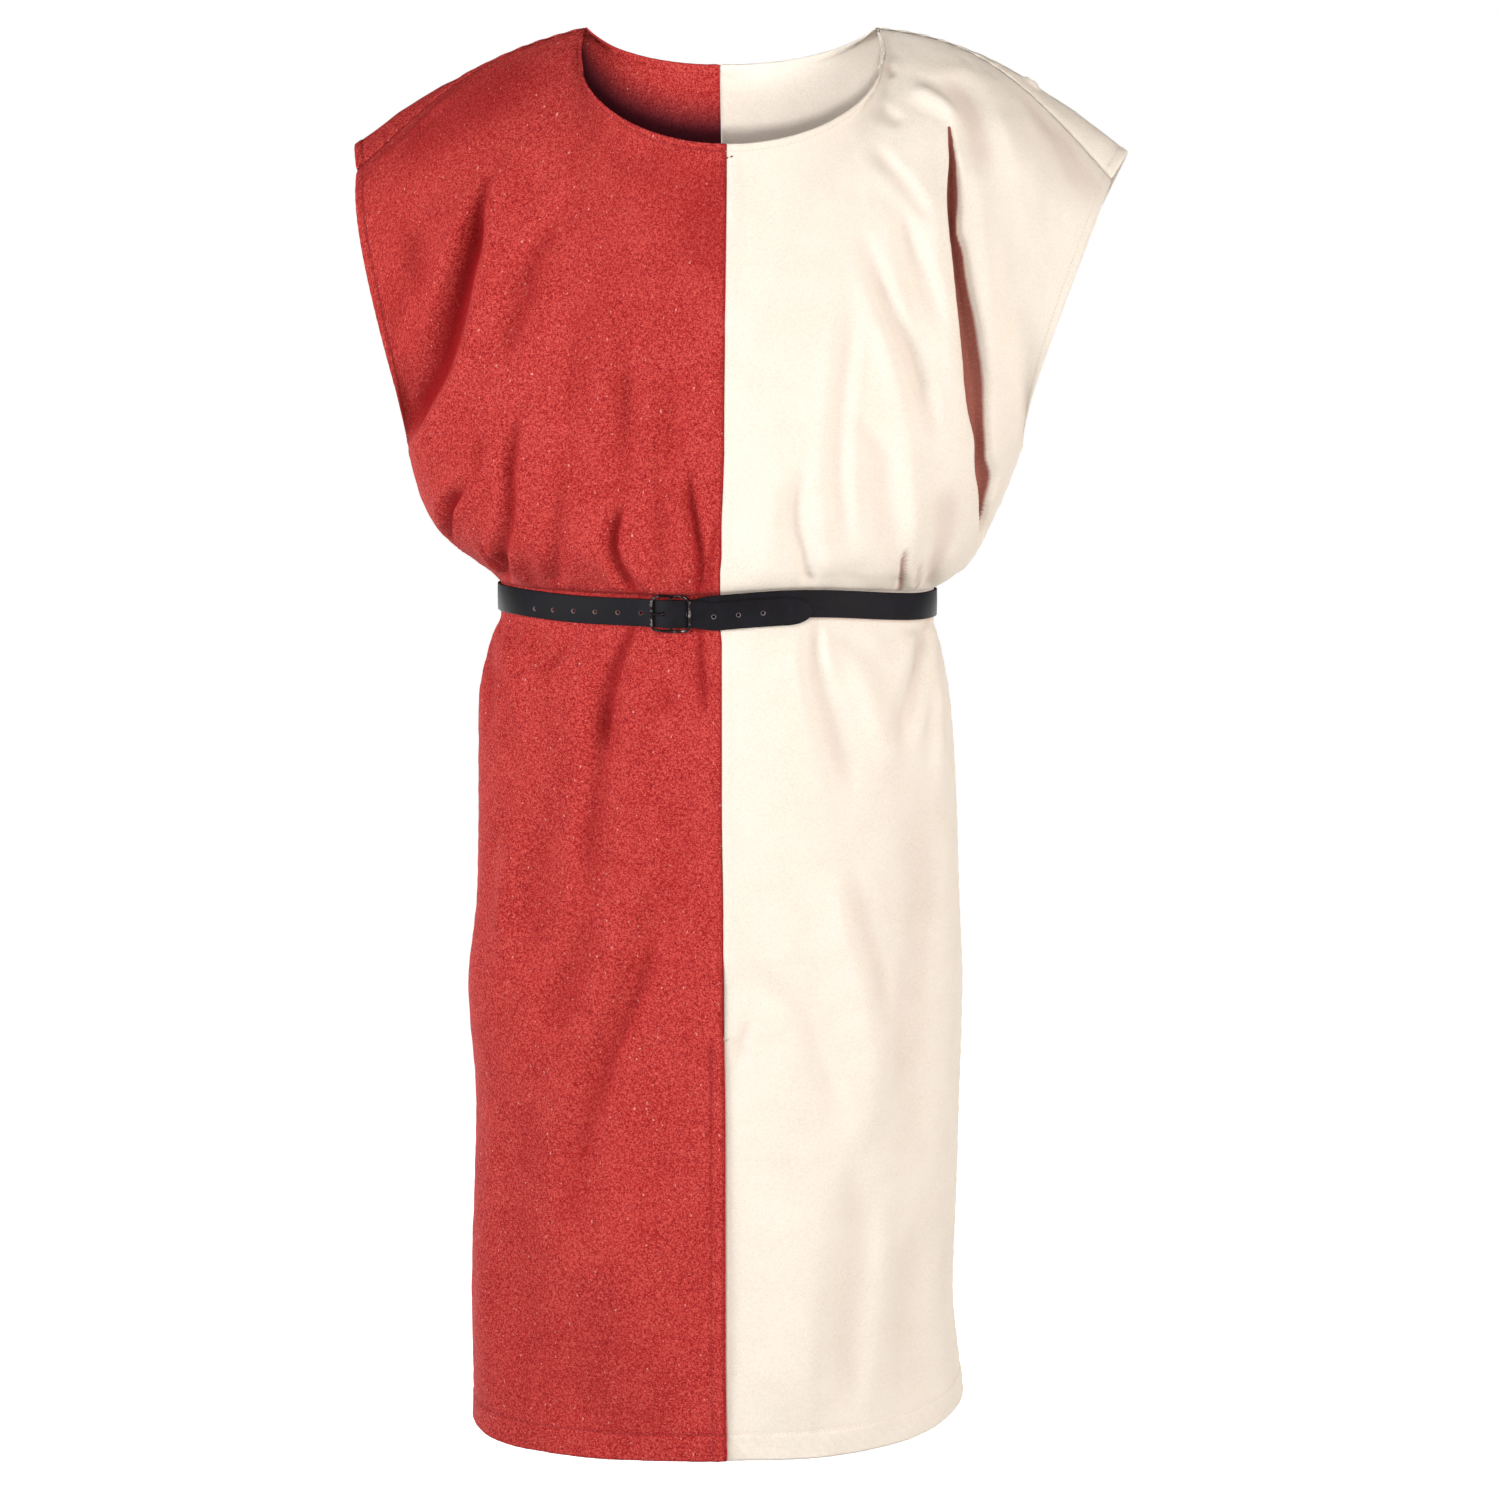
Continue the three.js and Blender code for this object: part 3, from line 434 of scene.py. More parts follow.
# The worn cloth, in millimetres. "Down" is the distance below the origin.
cloth = {
    "wall": 1.1,
    "hemWall": 1.9,
    "seamGap": 0.3,
    "armpitDown": 315,
    "hemDown": 1077,
    "hemRise": {"red": 4, "cream": 24},
    "hemRiseFrom": 880,
    "neckHem": 5.0,
    "armHem": 7.0,
    "bottomHem": 20.0,
    "slitHem": {"red": 10.0, "cream": 4.5},
    "freeEdgeBulge": 0.42,  # how far a rim rounds out, in wall thicknesses
    "sewnEdgeBulge": 0.02,
    "innerGrain": (0.7, 0.3),  # moves the weave of the inside away from that of the outside
}
# The neckline: its half widths, the middle and depth of its oval, how it dips from the shoulder
# seam, and the share of a panel's columns that lie along it.
neck = {
    "red": 109, "cream": 120, "middleY": -12.5, "depth": 77.5, "seamAngle": 107, "seamY": 10,
    "slope": {"front": 0.9, "back": 0.47}, "seamX": {"front": 3, "back": -3}, "share": 0.3,
}
# The outer ends of the shoulder seams, their crown, and how far the armhole's curve leans out at
# its top and at its foot.
shoulderEnd = {
    "red": {"x": 274, "y": -32, "down": 108, "crown": 20, "front": (0, -17), "back": (10, -17)},
    "cream": {"x": 291, "y": -24, "down": 114, "crown": 29, "front": (-24, -20), "back": (50, -20)},
}
# Level sections: half widths, the centre seam's x, depths, and how round each side is.
sections = {
    "columns": "at red cream seam front back roundRed roundCream",
    "rows": [
        (315, 241, 228, 1, 120, 108, 0.84, 0.84), (345, 234, 217, 0, 123, 109, 0.84, 0.84),
        (370, 224, 206, -1, 126, 111, 0.86, 0.86), (391, 208, 195, -1, 127, 113, 0.88, 0.88),
        (404, 191, 186, -2, 127, 113, 0.93, 0.93), (412, 180, 176, -2, 125.5, 112, 0.97, 0.97),
        (418.6, 173, 165, -2, 121, 108, 0.99, 0.99), (421.4, 171, 161, -2, 108, 99, 1, 1),
        (446, 171, 161, -2, 108, 99, 1, 1), (458, 175.5, 164, -1, 111, 102.5, 0.98, 0.97),
        (475, 181.5, 168, -1, 114.5, 107.5, 0.94, 0.93),
        (511, 188, 174, -1, 117, 116, 0.9, 0.9), (580, 189, 179, -1, 118, 123, 0.88, 0.9),
        (660, 191, 182, 0, 118, 126, 0.86, 0.92), (730, 198, 185, 0, 119, 125, 0.84, 0.94),
        (820, 193, 183, 1, 120, 124, 0.82, 0.95), (905, 195, 181, 1, 121, 125, 0.8, 0.96),
        (985, 197, 179, 1, 122, 127, 0.8, 0.97), (1077, 197, 187, 2, 123, 129, 0.78, 1),
    ],
}
# Handles of the curve that each column follows from its top to the armpit level.
yoke = {
    "front": {
        "columns": "at topReach topOut topRise lowReach lowOut lowRise",
        "rows": [
            (0, 0, 12, -75, 0, -2, 75), (0.15, 0, 18, -68, 0, -1, 88), (0.22, 1, 42, -60, -1, 0, 110),
            (0.3, 2, 76, -46, -2, 0, 130), (0.5, 3, 72, -42, 0, 3, 130), (0.7, 2, 64, -48, 2, 12, 110),
            (0.85, 3, 54, -46, 8, 42, 82), (1, 6, 40, -44, 12, 96, 36),
        ],
    },
    "back": {
        "columns": "at topReach topOut topRise lowReach lowOut lowRise",
        "rows": [
            (0, 0, 26, -52, 0, 12, 120), (0.15, 0, 30, -42, 0, 12, 120), (0.3, 2, 62, 6, 0, 12, 150),
            (0.5, 3, 66, 12, 0, 16, 140), (0.7, 3, 66, 40, 2, 26, 120), (0.85, 3, 60, 68, 6, 50, 105),
            (1, 8, 48, 92, 10, 108, 52),
        ],
    },
}
# The front slit: its red edge laps over the cream, which settles back under it and is painted in shade just
# beside that edge.
slit = {
    "topDown": 755, "lap": 5, "setBack": 2.6, "settle": 70, "reach": 0.24, "shade": 0.75, "shadeEdge": 1.5,
}
# The band that the belt presses flat, its slant, and how far the painted shade on the cloth under the belt
# is set in.
band = {
    "top": 420, "bottom": 446, "release": (9, 12), "tilt": 0.014, "down": 432, "slantReach": 60,
    "rise": 5.8, "riseFrom": -25, "riseSpan": 175, "risePower": 1.3, "shade": (5, 6, 3),
}
sideSign = {"red": -1, "cream": 1}
faceSign = {"front": -1, "back": 1}


def bandRise(x):
    # The belt and the cloth under it rise on the front, past the buckle towards +X.
    share = np.clip((x - band["riseFrom"]) / band["riseSpan"], 0, 1)
    return band["rise"] * np.maximum(np.sin(math.pi * share), 0) ** band["risePower"]


def sectionPoint(side, face, u, down):
    row = readTable(sections, down)
    roundness = row["roundRed" if side == "red" else "roundCream"]
    angle = u * math.pi / 2
    acrossShare = np.sin(angle) ** roundness
    forward = np.where(u >= 1, 0, np.maximum(np.cos(angle), 0) ** roundness)
    x = row["seam"] * (1 - acrossShare) + sideSign[side] * row[side] * acrossShare
    hemShare = smooth((down - cloth["hemRiseFrom"]) / (cloth["hemDown"] - cloth["hemRiseFrom"]))
    lift = cloth["hemRise"][side] * hemShare * u**3
    slant = band["tilt"] * x - (bandRise(x) if face == "front" else 0)
    slant = slant * bell((down - band["down"]) / band["slantReach"])
    y = faceSign[face] * row[face] * forward
    return np.stack(np.broadcast_arrays(x, y, lift - slant - down), axis=-1)


def topPoint(side, face, u):
    # On the neckline up to the shoulder seam, then along that seam.
    turn = np.minimum(u / neck["share"], 1) * neck["seamAngle"]
    if face == "back":
        turn = 180 - np.minimum(u / neck["share"], 1) * (180 - neck["seamAngle"])
    angle, sign, seamX = np.radians(turn), sideSign[side], neck["seamX"][face]
    x = seamX * (1 - np.sin(angle)) + sign * neck[side] * np.sin(angle)
    y = neck["middleY"] - neck["depth"] * np.cos(angle)
    z = -neck["slope"][face] * np.abs(y - neck["seamY"])
    end = shoulderEnd[side]
    t = np.clip((u - neck["share"]) / (1 - neck["share"]), 0, 1)
    onSeam = t > 0
    x = np.where(onSeam, x + (sign * end["x"] - x) * t, x)
    y = np.where(onSeam, y + (end["y"] - y) * t * t, y)
    z = np.where(onSeam, z + (-end["down"] - z) * t + end["crown"] * np.sin(math.pi * t), z)
    return np.stack([x, y, z], axis=-1)


def yokePoint(side, face, u, t):
    handles = readTable(yoke[face], u)
    edgeTop, edgeLow = shoulderEnd[side][face]
    top, low = topPoint(side, face, u), sectionPoint(side, face, u, cloth["armpitDown"])
    sign, out = sideSign[side], faceSign[face]
    topReach, lowReach = handles["topReach"] + edgeTop * u**3, handles["lowReach"] + edgeLow * u**3
    afterTop = top + np.stack([sign * topReach, out * handles["topOut"], handles["topRise"]], axis=-1)
    beforeLow = low + np.stack([sign * lowReach, out * handles["lowOut"], handles["lowRise"]], axis=-1)
    t = t[:, None, None]
    return (top * (1 - t) ** 3 + afterTop * 3 * t * (1 - t) ** 2
            + beforeLow * 3 * t**2 * (1 - t) + low * t**3)


def graded(start, end, count, edge):
    # Values from start to end that lie closer together near the ends.
    t = np.linspace(0, 1, count + 1)
    t = (1 - edge) * t + edge * smooth(t)
    return start + (end - start) * t


panelGrid = {
    "neckColumns": 44, "neckEdge": 0.5, "yokeRows": 92,
    "shoulderColumns": [(1.0, 84)],  # up to a share of the panel, and how many columns there
    "leftShoulderColumns": [(0.47, 20), (0.86, 62), (1.0, 16)],
    "shoulderEdge": 0.35, "shoulderEdgeFrom": 0.5,
    "rows": [(315, 400, 3.4), (400, 411, 2.2), (411, 422, 1), (422, 445, 4), (445, 470, 2.4),
             (470, 1050, 4.4), (1050, 1077, 1.6)],  # from, to and step
}


def panelColumns(name):
    start = neck["share"]
    columns = [graded(0, start, panelGrid["neckColumns"], panelGrid["neckEdge"])[:-1]]
    for end, count in panelGrid["leftShoulderColumns" if name == "front_left_cream" else "shoulderColumns"]:
        edge = panelGrid["shoulderEdge"] if end - start > panelGrid["shoulderEdgeFrom"] else 0
        columns.append(graded(start, end, count, edge)[:-1])
        start = end
    return np.concatenate(columns + [[1.0]])


def panelRows():
    rows = []
    for start, end, step in panelGrid["rows"]:
        rows.append(np.linspace(start, end, int(round((end - start) / step)), endpoint=False))
    return np.concatenate(rows + [[cloth["hemDown"]]])


# Folds: a path of (x, down, half width) on the face of the garment, the depth (negative for a
# ridge), how much sharper one flank is than the other, and how strong the painted shade in it is.
folds = {
    "front_right_red": [
        ([(-158, 90, 3), (-168, 106, 3), (-180, 134, 4), (-185, 160, 6), (-190, 182, 7), (-198, 212, 8),
          (-205, 237, 8), (-213, 258, 8), (-223, 276, 8), (-235, 296, 7), (-242, 312, 6),
          (-246, 330, 5)], 11.5, 0.15, 0.9),
        ([(-175, 106, 5), (-188, 127, 6), (-200, 159, 7), (-212, 196, 8), (-223, 230, 8),
          (-235, 257, 6)], -4, 0, 0),
        ([(-143, 74, 7), (-157, 100, 8), (-165, 130, 8), (-172, 175, 9), (-178, 211, 9),
          (-187, 241, 8)], -4, 0, 0),
        ([(-112, 124, 5), (-128, 156, 7), (-139, 176, 7), (-145, 203, 7), (-155, 233, 6),
          (-163, 262, 5)], 7, 0.1, 0.36),
        ([(-131, 182, 7), (-142, 212, 7), (-149, 239, 7), (-155, 269, 6)], -2.5, 0, 0),
        ([(-145, 270, 3), (-151, 298, 4), (-157, 329, 4), (-157, 359, 4), (-161, 380, 4),
          (-163, 417, 4)], 7, 0.2, 0.55),
        ([(-70, 225, 6), (-69, 290, 7), (-72, 335, 7), (-74, 362, 6)], 4.5, 0, 0.18),
        ([(-96, 180, 8), (-104, 240, 9), (-110, 300, 9)], 4, 0, 0.14),
        ([(-84, 200, 8), (-88, 260, 9), (-92, 320, 9)], -3, 0, 0),
        ([(-34, 240, 8), (-36, 300, 9), (-36, 350, 8)], 3.4, 0, 0.14),
        ([(-54, 230, 7), (-54, 280, 8), (-56, 330, 7)], -2.6, 0, 0),
        ([(-70, 92, 16), (-40, 112, 22), (-12, 136, 26)], 0, 0, 0.26),
        ([(-116, 30, 20), (-170, 52, 27), (-228, 84, 24), (-262, 118, 16)], 0, 0, 0.42),
        ([(-12, 86, 18), (-12, 130, 24), (-14, 200, 18)], 0, 0, 0.32),
        ([(-72, 345, 4), (-77, 365, 4), (-81, 382, 4), (-75, 398, 4), (-64, 418, 4)], 7, 0.2, 0.7),
        ([(-24, 315, 3), (-22, 345, 4), (-19, 371, 4), (-17, 393, 4), (-17, 417, 4)], 6, 0.2, 0.7),
        ([(-2, 356, 2), (-7, 386, 3), (-12, 417, 4)], 3, 0, 0.45),
        ([(-180, 296, 4), (-183, 327, 4), (-193, 346, 4)], 3, 0.1, 0.3),
        ([(-186, 338, 2), (-204, 354, 4), (-208, 372, 4), (-201, 395, 3)], 8, 0.3, 1.0),
        ([(-184, 380, 2), (-176, 396, 3), (-168, 408, 2)], 4, 0.2, 0.5),
        ([(-226, 141, 7), (-225, 174, 8), (-221, 202, 6)], 2.5, 0, 0.18),
        ([(-112, 290, 6), (-116, 335, 6), (-120, 378, 6), (-124, 417, 5)], 4.5, 0, 0.18),
        ([(-48, 300, 6), (-46, 345, 6), (-44, 381, 6), (-45, 417, 5)], 3.6, 0, 0.14),
        ([(-98, 330, 9), (-98, 370, 9), (-96, 410, 8)], -3.2, 0, 0),
        ([(-33, 340, 6), (-31, 380, 6), (-30, 412, 6)], -2.4, 0, 0),
        ([(-268, 112, 3), (-243, 87, 3), (-213, 60, 3), (-195, 46, 3)], -2.4, 0, 0),
        ([(-268, 100, 8), (-249, 83, 9), (-230, 66, 8), (-210, 50, 6)], 1.5, 0, 0.36),
        ([(-18, 96, 5), (-10, 118, 7), (-8, 141, 8), (-14, 160, 7)], 2.4, 0, 0.3),
        ([(-30, 96, 3), (-16, 108, 3), (-4, 122, 3)], -1.6, 0, 0),
        ([(-67, 446, 3.5), (-73, 460, 5), (-81, 484, 6), (-87, 510, 6.5), (-91, 548, 7)], 6, 0.2, 0.62),
        ([(-78, 476, 6), (-88, 530, 7), (-94, 569, 8), (-98, 610, 8), (-100, 680, 8)], 6, 0, 0.32),
        ([(-17, 446, 3), (-15, 468, 4), (-13, 512, 4)], 5, 0.2, 0.6),
        ([(-151, 470, 2), (-134, 476, 3), (-121, 464, 3), (-109, 450, 3)], 3.5, 0.2, 0.4),
        ([(-41, 484, 8), (-41, 514, 8)], 2.4, 0, 0.24),
        ([(-110, 470, 9), (-114, 510, 10), (-118, 570, 11)], -3.4, 0, 0),
        ([(-176, 455, 6), (-178, 490, 7), (-176, 530, 7)], 2.4, 0, 0.24),
        ([(-163, 456, 4), (-159, 496, 5), (-153, 533, 6)], -3.4, 0, 0),
        ([(-46, 609, 7), (-51, 647, 8), (-53, 681, 8), (-59, 711, 7), (-69, 733, 7), (-81, 761, 7),
          (-90, 789, 8), (-99, 817, 9), (-110, 859, 11), (-126, 930, 11)], 6, 0.2, 0.27),
        ([(-73, 620, 12), (-92, 692, 13), (-111, 771, 14), (-130, 850, 14)], -5, 0, 0),
        ([(-96, 650, 9), (-116, 715, 11), (-133, 765, 10)], 6, 0, 0.2),
        ([(-128, 560, 9), (-140, 640, 11), (-150, 730, 11)], 5, 0, 0.14),
        ([(-30, 560, 9), (-34, 640, 10), (-40, 700, 9)], 4, 0, 0.12),
        ([(-154, 601, 8), (-165, 647, 8), (-172, 701, 8)], -3.4, 0, 0),
        ([(-148, 780, 16), (-158, 900, 18), (-152, 1060, 18)], 6, 0, 0.08),
        ([(-60, 850, 16), (-66, 950, 18), (-62, 1070, 18)], -4.5, 0, 0),
        ([(-104, 930, 12), (-112, 1000, 13), (-108, 1077, 14)], 4, 0, 0.08),
        ([(-188, 1010, 50), (-100, 1016, 60), (-8, 1016, 60)], 0, 0, 0.14),
    ],
    "front_left_cream": [
        ([(136, 44, 5), (154, 52, 5), (169, 62, 4), (178, 82, 4)], -4, 0, 0),
        ([(188, 96, 6), (192, 160, 8), (202, 230, 9), (212, 300, 9)], -4, 0, 0),
        ([(150, 84, 8), (156, 150, 9), (163, 215, 9), (172, 290, 9)], -4, 0, 0),
        ([(95, 148, 5), (106, 165, 5), (115, 187, 5), (127, 217, 5), (138, 245, 6), (147, 272, 6),
          (154, 296, 6), (158, 320, 5)], 5, 0.2, 0.16),
        ([(112, 205, 7), (124, 245, 8), (134, 285, 7)], -3, 0, 0),
        ([(121, 117, 5), (131, 140, 5), (137, 164, 5), (147, 190, 6), (157, 218, 6), (165, 239, 5)], 4,
          0.1, 0.11),
        ([(106, 85, 4), (116, 99, 4), (131, 113, 4), (143, 131, 4), (153, 149, 4)], 2.8, 0.1, 0.1),
        ([(111, 55, 4), (122, 66, 4), (136, 74, 4)], 2.4, 0.1, 0.1),
        ([(117, 27, 3), (129, 39, 3)], 2, 0, 0.16),
        ([(93, 175, 5), (92, 217, 5), (88, 256, 5), (85, 291, 5), (84, 327, 5), (88, 364, 5),
          (91, 400, 5)], 4, 0, 0.1),
        ([(90, 281, 4), (102, 297, 5), (115, 319, 7), (119, 349, 8), (122, 379, 8), (129, 408, 5)], 3.2,
          0.1, 0.09),
        ([(61, 310, 5), (56, 341, 5), (54, 364, 5), (59, 386, 4), (66, 418, 3)], 4, 0.2, 0.13),
        ([(30, 330, 7), (30, 375, 7), (34, 412, 6)], -2.4, 0, 0),
        ([(72, 340, 6), (74, 375, 6), (78, 410, 6)], -2.8, 0, 0),
        ([(163, 335, 8), (168, 355, 11), (168, 376, 11), (163, 395, 9), (154, 417, 5)], 4, 0.2, 0.17),
        ([(136, 382, 1.2), (134, 400, 1.7), (132, 420, 2.2)], 3.4, 0, 0.75),
        ([(146, 396, 1.2), (145, 406, 1.4), (144, 420, 1.6)], 1.5, 0, 0.3),
        ([(128, 276, 7), (135, 306, 8), (141, 343, 8), (141, 372, 8), (139, 400, 6)], -4.5, 0, 0),
        ([(160, 32, 8), (178, 50, 9), (187, 71, 9), (193, 95, 9), (194, 118, 7)], 3.4, 0, 0.18),
        ([(201, 27, 7), (231, 51, 10), (249, 78, 12), (265, 106, 13), (274, 126, 11), (272, 152, 7)], 2,
          0, 0.17),
        ([(199, 60, 9), (211, 86, 10), (217, 120, 10)], -3, 0, 0),
        ([(69, 446, 4), (68, 468, 5), (73, 491, 6), (81, 518, 7), (88, 545, 7), (98, 578, 6)], 4.6, 0.1,
          0.13),
        ([(156, 446, 5), (152, 463, 6), (147, 488, 7), (139, 513, 7), (127, 545, 6)], 6, 0.1, 0.16),
        ([(86, 453, 7), (109, 500, 9), (122, 545, 10), (124, 575, 8)], -5, 0, 0),
        ([(92, 615, 6), (102, 653, 7), (111, 683, 7), (119, 709, 7), (127, 756, 7)], 3.6, 0.1, 0.1),
        ([(137, 540, 14), (144, 593, 18), (150, 655, 18), (145, 731, 16), (143, 807, 16),
          (134, 880, 16)], 4, 0, 0.1),
        ([(76, 610, 11), (96, 690, 12), (114, 770, 13), (112, 850, 13)], -6, 0, 0),
        ([(12, 684, 6), (35, 713, 6), (54, 731, 7), (65, 755, 7), (71, 779, 7), (81, 803, 7),
          (95, 832, 6)], 2.6, 0.1, 0.06),
        ([(14, 737, 5), (20, 772, 5)], 2.5, 0, 0.09),
        ([(95, 835, 9), (102, 919, 11), (94, 996, 11), (93, 1070, 11)], 4, 0.1, 0.08),
        ([(48, 860, 16), (54, 960, 17), (46, 1077, 18)], -4, 0, 0),
        ([(146, 900, 14), (142, 980, 15), (146, 1070, 16)], 4.5, 0, 0.06),
        ([(161, 470, 5), (163, 520, 6), (166, 590, 7)], -3, 0, 0),
    ],
    "back_right_red": [
        ([(-148, 84, 10), (-166, 150, 10), (-184, 232, 11), (-204, 330, 12)], 10.4, 0.2, 0.4),
        ([(-110, 110, 10), (-124, 190, 11), (-134, 280, 12)], -4.4, 0, 0),
        ([(-84, 150, 9), (-92, 220, 10), (-96, 300, 10)], 4.4, 0, 0.17),
        ([(-48, 296, 9), (-54, 360, 7), (-52, 418, 5)], 7.8, 0.3, 0.3),
        ([(-24, 320, 7), (-24, 370, 6), (-22, 417, 5)], -3.4, 0, 0),
        ([(-116, 312, 9), (-124, 366, 7), (-120, 418, 5)], 9.1, 0.3, 0.35),
        ([(-88, 330, 8), (-88, 376, 7), (-86, 416, 6)], -3.9, 0, 0),
        ([(-152, 346, 6), (-156, 386, 5), (-148, 417, 4)], 5.5, 0.2, 0.21),
        ([(-84, 448, 6), (-78, 510, 8), (-70, 596, 11)], 8.3, 0.3, 0.32),
        ([(-108, 450, 7), (-110, 510, 9), (-108, 590, 10)], -3.9, 0, 0),
        ([(-128, 448, 6), (-134, 560, 10), (-138, 730, 14)], 7.8, 0.2, 0.3),
        ([(-36, 449, 5), (-32, 490, 6), (-28, 540, 7)], 4.9, 0.2, 0.19),
        ([(-64, 640, 14), (-72, 780, 17), (-60, 940, 19)], 5.5, 0, 0.21),
        ([(-112, 760, 16), (-120, 900, 18), (-112, 1050, 19)], -4.7, 0, 0),
    ],
    "back_left_cream": [
        ([(156, 86, 9), (168, 160, 10), (180, 250, 10), (192, 364, 11)], 12.3, 0.2, 0.24),
        ([(124, 110, 10), (134, 190, 10), (146, 280, 11)], -4.4, 0, 0),
        ([(92, 130, 9), (98, 210, 10), (108, 290, 10)], 4.4, 0, 0.09),
        ([(42, 304, 9), (48, 362, 7), (46, 418, 5)], 7.3, 0.3, 0.14),
        ([(72, 320, 7), (76, 372, 6), (76, 416, 6)], -3.9, 0, 0),
        ([(102, 296, 9), (112, 360, 7), (112, 418, 5)], 9.9, 0.3, 0.19),
        ([(146, 342, 6), (148, 384, 5), (140, 417, 4)], 5.2, 0.2, 0.1),
        ([(72, 448, 6), (66, 530, 9), (62, 646, 12)], 7.8, 0.3, 0.15),
        ([(100, 450, 7), (100, 520, 8), (94, 600, 10)], -3.6, 0, 0),
        ([(132, 448, 6), (128, 550, 10), (120, 700, 14)], 7.5, 0.2, 0.14),
        ([(26, 449, 5), (24, 492, 6), (20, 540, 7)], 4.7, 0.2, 0.09),
        ([(86, 660, 14), (98, 800, 17), (90, 960, 19)], 5.2, 0, 0.1),
        ([(44, 700, 16), (50, 850, 18), (44, 1030, 19)], -4.4, 0, 0),
    ],
}
# A fold mouth is the same, but with steep sides and a flat floor painted in the shade colour.
mouths = {
    "front_left_cream": [
        ([(169, 76, 1.2), (171, 88, 2), (172, 103, 2.8), (172, 127, 4.4), (173, 153, 3.4), (175, 167, 4.5),
          (179, 190, 5.2), (183, 215, 6.5), (187, 241, 7.6), (190, 266, 8.6), (192, 282, 8.2),
          (194, 305, 6.4), (196, 325, 7), (200, 343, 9), (198, 357, 6.5), (198, 369, 4.5),
          (195, 380, 2.5)], 13, 0, 1.0),
    ],
}
# How every fold is cut: widths and reaches in half widths, and fades as shares of its length.
folding = {
    "step": 9, "leastHalf": 0.5, "reach": 4.2, "widen": 1.35, "lip": 0.26, "lipAt": 1.9, "lipWidth": 0.75,
    "fade": 0.3, "meetsBelt": 6, "mouthStep": 6, "mouthFull": 4, "mouthPower": 5, "far": 9,
}
# The cloth's own unevenness, and the painted shade on it.
texture = {
    "seed": 11, "seedStep": 7, "waves": 0.75, "wavesSize": 95, "wavesLong": 0.45,
    "crinkle": 0.22, "crinkleSize": 24, "crinkleCount": 14,
    "gather": 1.5, "gatherSize": 26, "gatherCount": 5, "gatherSlant": 0.05,
    "gatherUp": 26, "gatherDown": 42,
    "calmSeam": 16, "calmArmhole": 24, "calmTop": 14, "calmNeck": 0.35,
    "easeReach": 30, "easeRounds": 90, "easeEnd": (200, 330),
    "foldShadeTop": 12,
    # Painted shade on the inner back below the front neck: start, reach and strength for each side, then
    # where it fades out.
    "crescent": {"red": (46, 38, 0.95), "cream": (16, 26, 0.2)}, "crescentEnd": (10, 60),
}
seams = {
    "valley": 0.55, "valleyWidth": 1.5, "allowance": 0.3, "allowanceWidth": 9, "allowanceEdge": 1.6,
    "pucker": 0.28, "puckerAt": 4, "puckerWidth": 5, "drift": 1.3, "driftSize": 37,
    "centrePitch": 13, "sidePitch": 15, "shoulderPitch": 14,
    # Painted shade beside the centre seam on the front: how dark on each side, and its width.
    "shade": {"red": 0.6, "cream": 0}, "shadeWidth": 1.4,
}
hems = {
    "raise": 0.45, "edgeStart": 0.4, "edge": 1.2, "dent": {"red": 0.7, "cream": 0.4}, "dentWidth": 1.3,
    "pull": 0.16, "pullPitch": 9.5, "pullSlant": 0.8, "pullFrom": 3, "drift": 1.5, "driftSize": 31,
    # Painted shade along the stitching dent: how dark on each side, and its width.
    "shade": {"red": 0.45, "cream": 0.05}, "shadeWidth": 1.1,
}


def gridNormals(points, out):
    across = np.gradient(points, axis=1)
    downwards = np.gradient(points, axis=0)
    normals = np.cross(across, downwards) * out
    return normals / np.maximum(np.linalg.norm(normals, axis=-1, keepdims=True), 1e-9)


def lengthsAlong(points, axis):
    steps = np.linalg.norm(np.diff(points, axis=axis), axis=-1)
    start = np.zeros_like(np.take(steps, [0], axis=axis))
    return np.concatenate([start, np.cumsum(steps, axis=axis)], axis=axis)


def besideLine(line, halves, spots, facing):
    # Each spot's place along a fold's line, its distance to one side, and the half width there.
    best = np.full(len(spots), 1e9)
    share, aside, half = np.zeros(len(spots)), np.zeros(len(spots)), np.ones(len(spots))
    for k in range(len(line) - 1):
        along = line[k + 1] - line[k]
        length = np.linalg.norm(along)
        t = np.clip((spots - line[k]) @ along / length**2, 0, 1)
        off = spots - (line[k] + t[:, None] * along)
        off = off - np.einsum("ij,ij->i", off, facing)[:, None] * facing
        distance = np.linalg.norm(off, axis=1)
        sign = np.sign(np.einsum("ij,ij->i", np.cross(off, along), facing))
        closer = distance < best
        best = np.where(closer, distance, best)
        share = np.where(closer, (k + t) / (len(line) - 1), share)
        aside = np.where(closer, distance * sign, aside)
        half = np.where(closer, halves[k] + (halves[k + 1] - halves[k]) * t, half)
    return share, aside, half


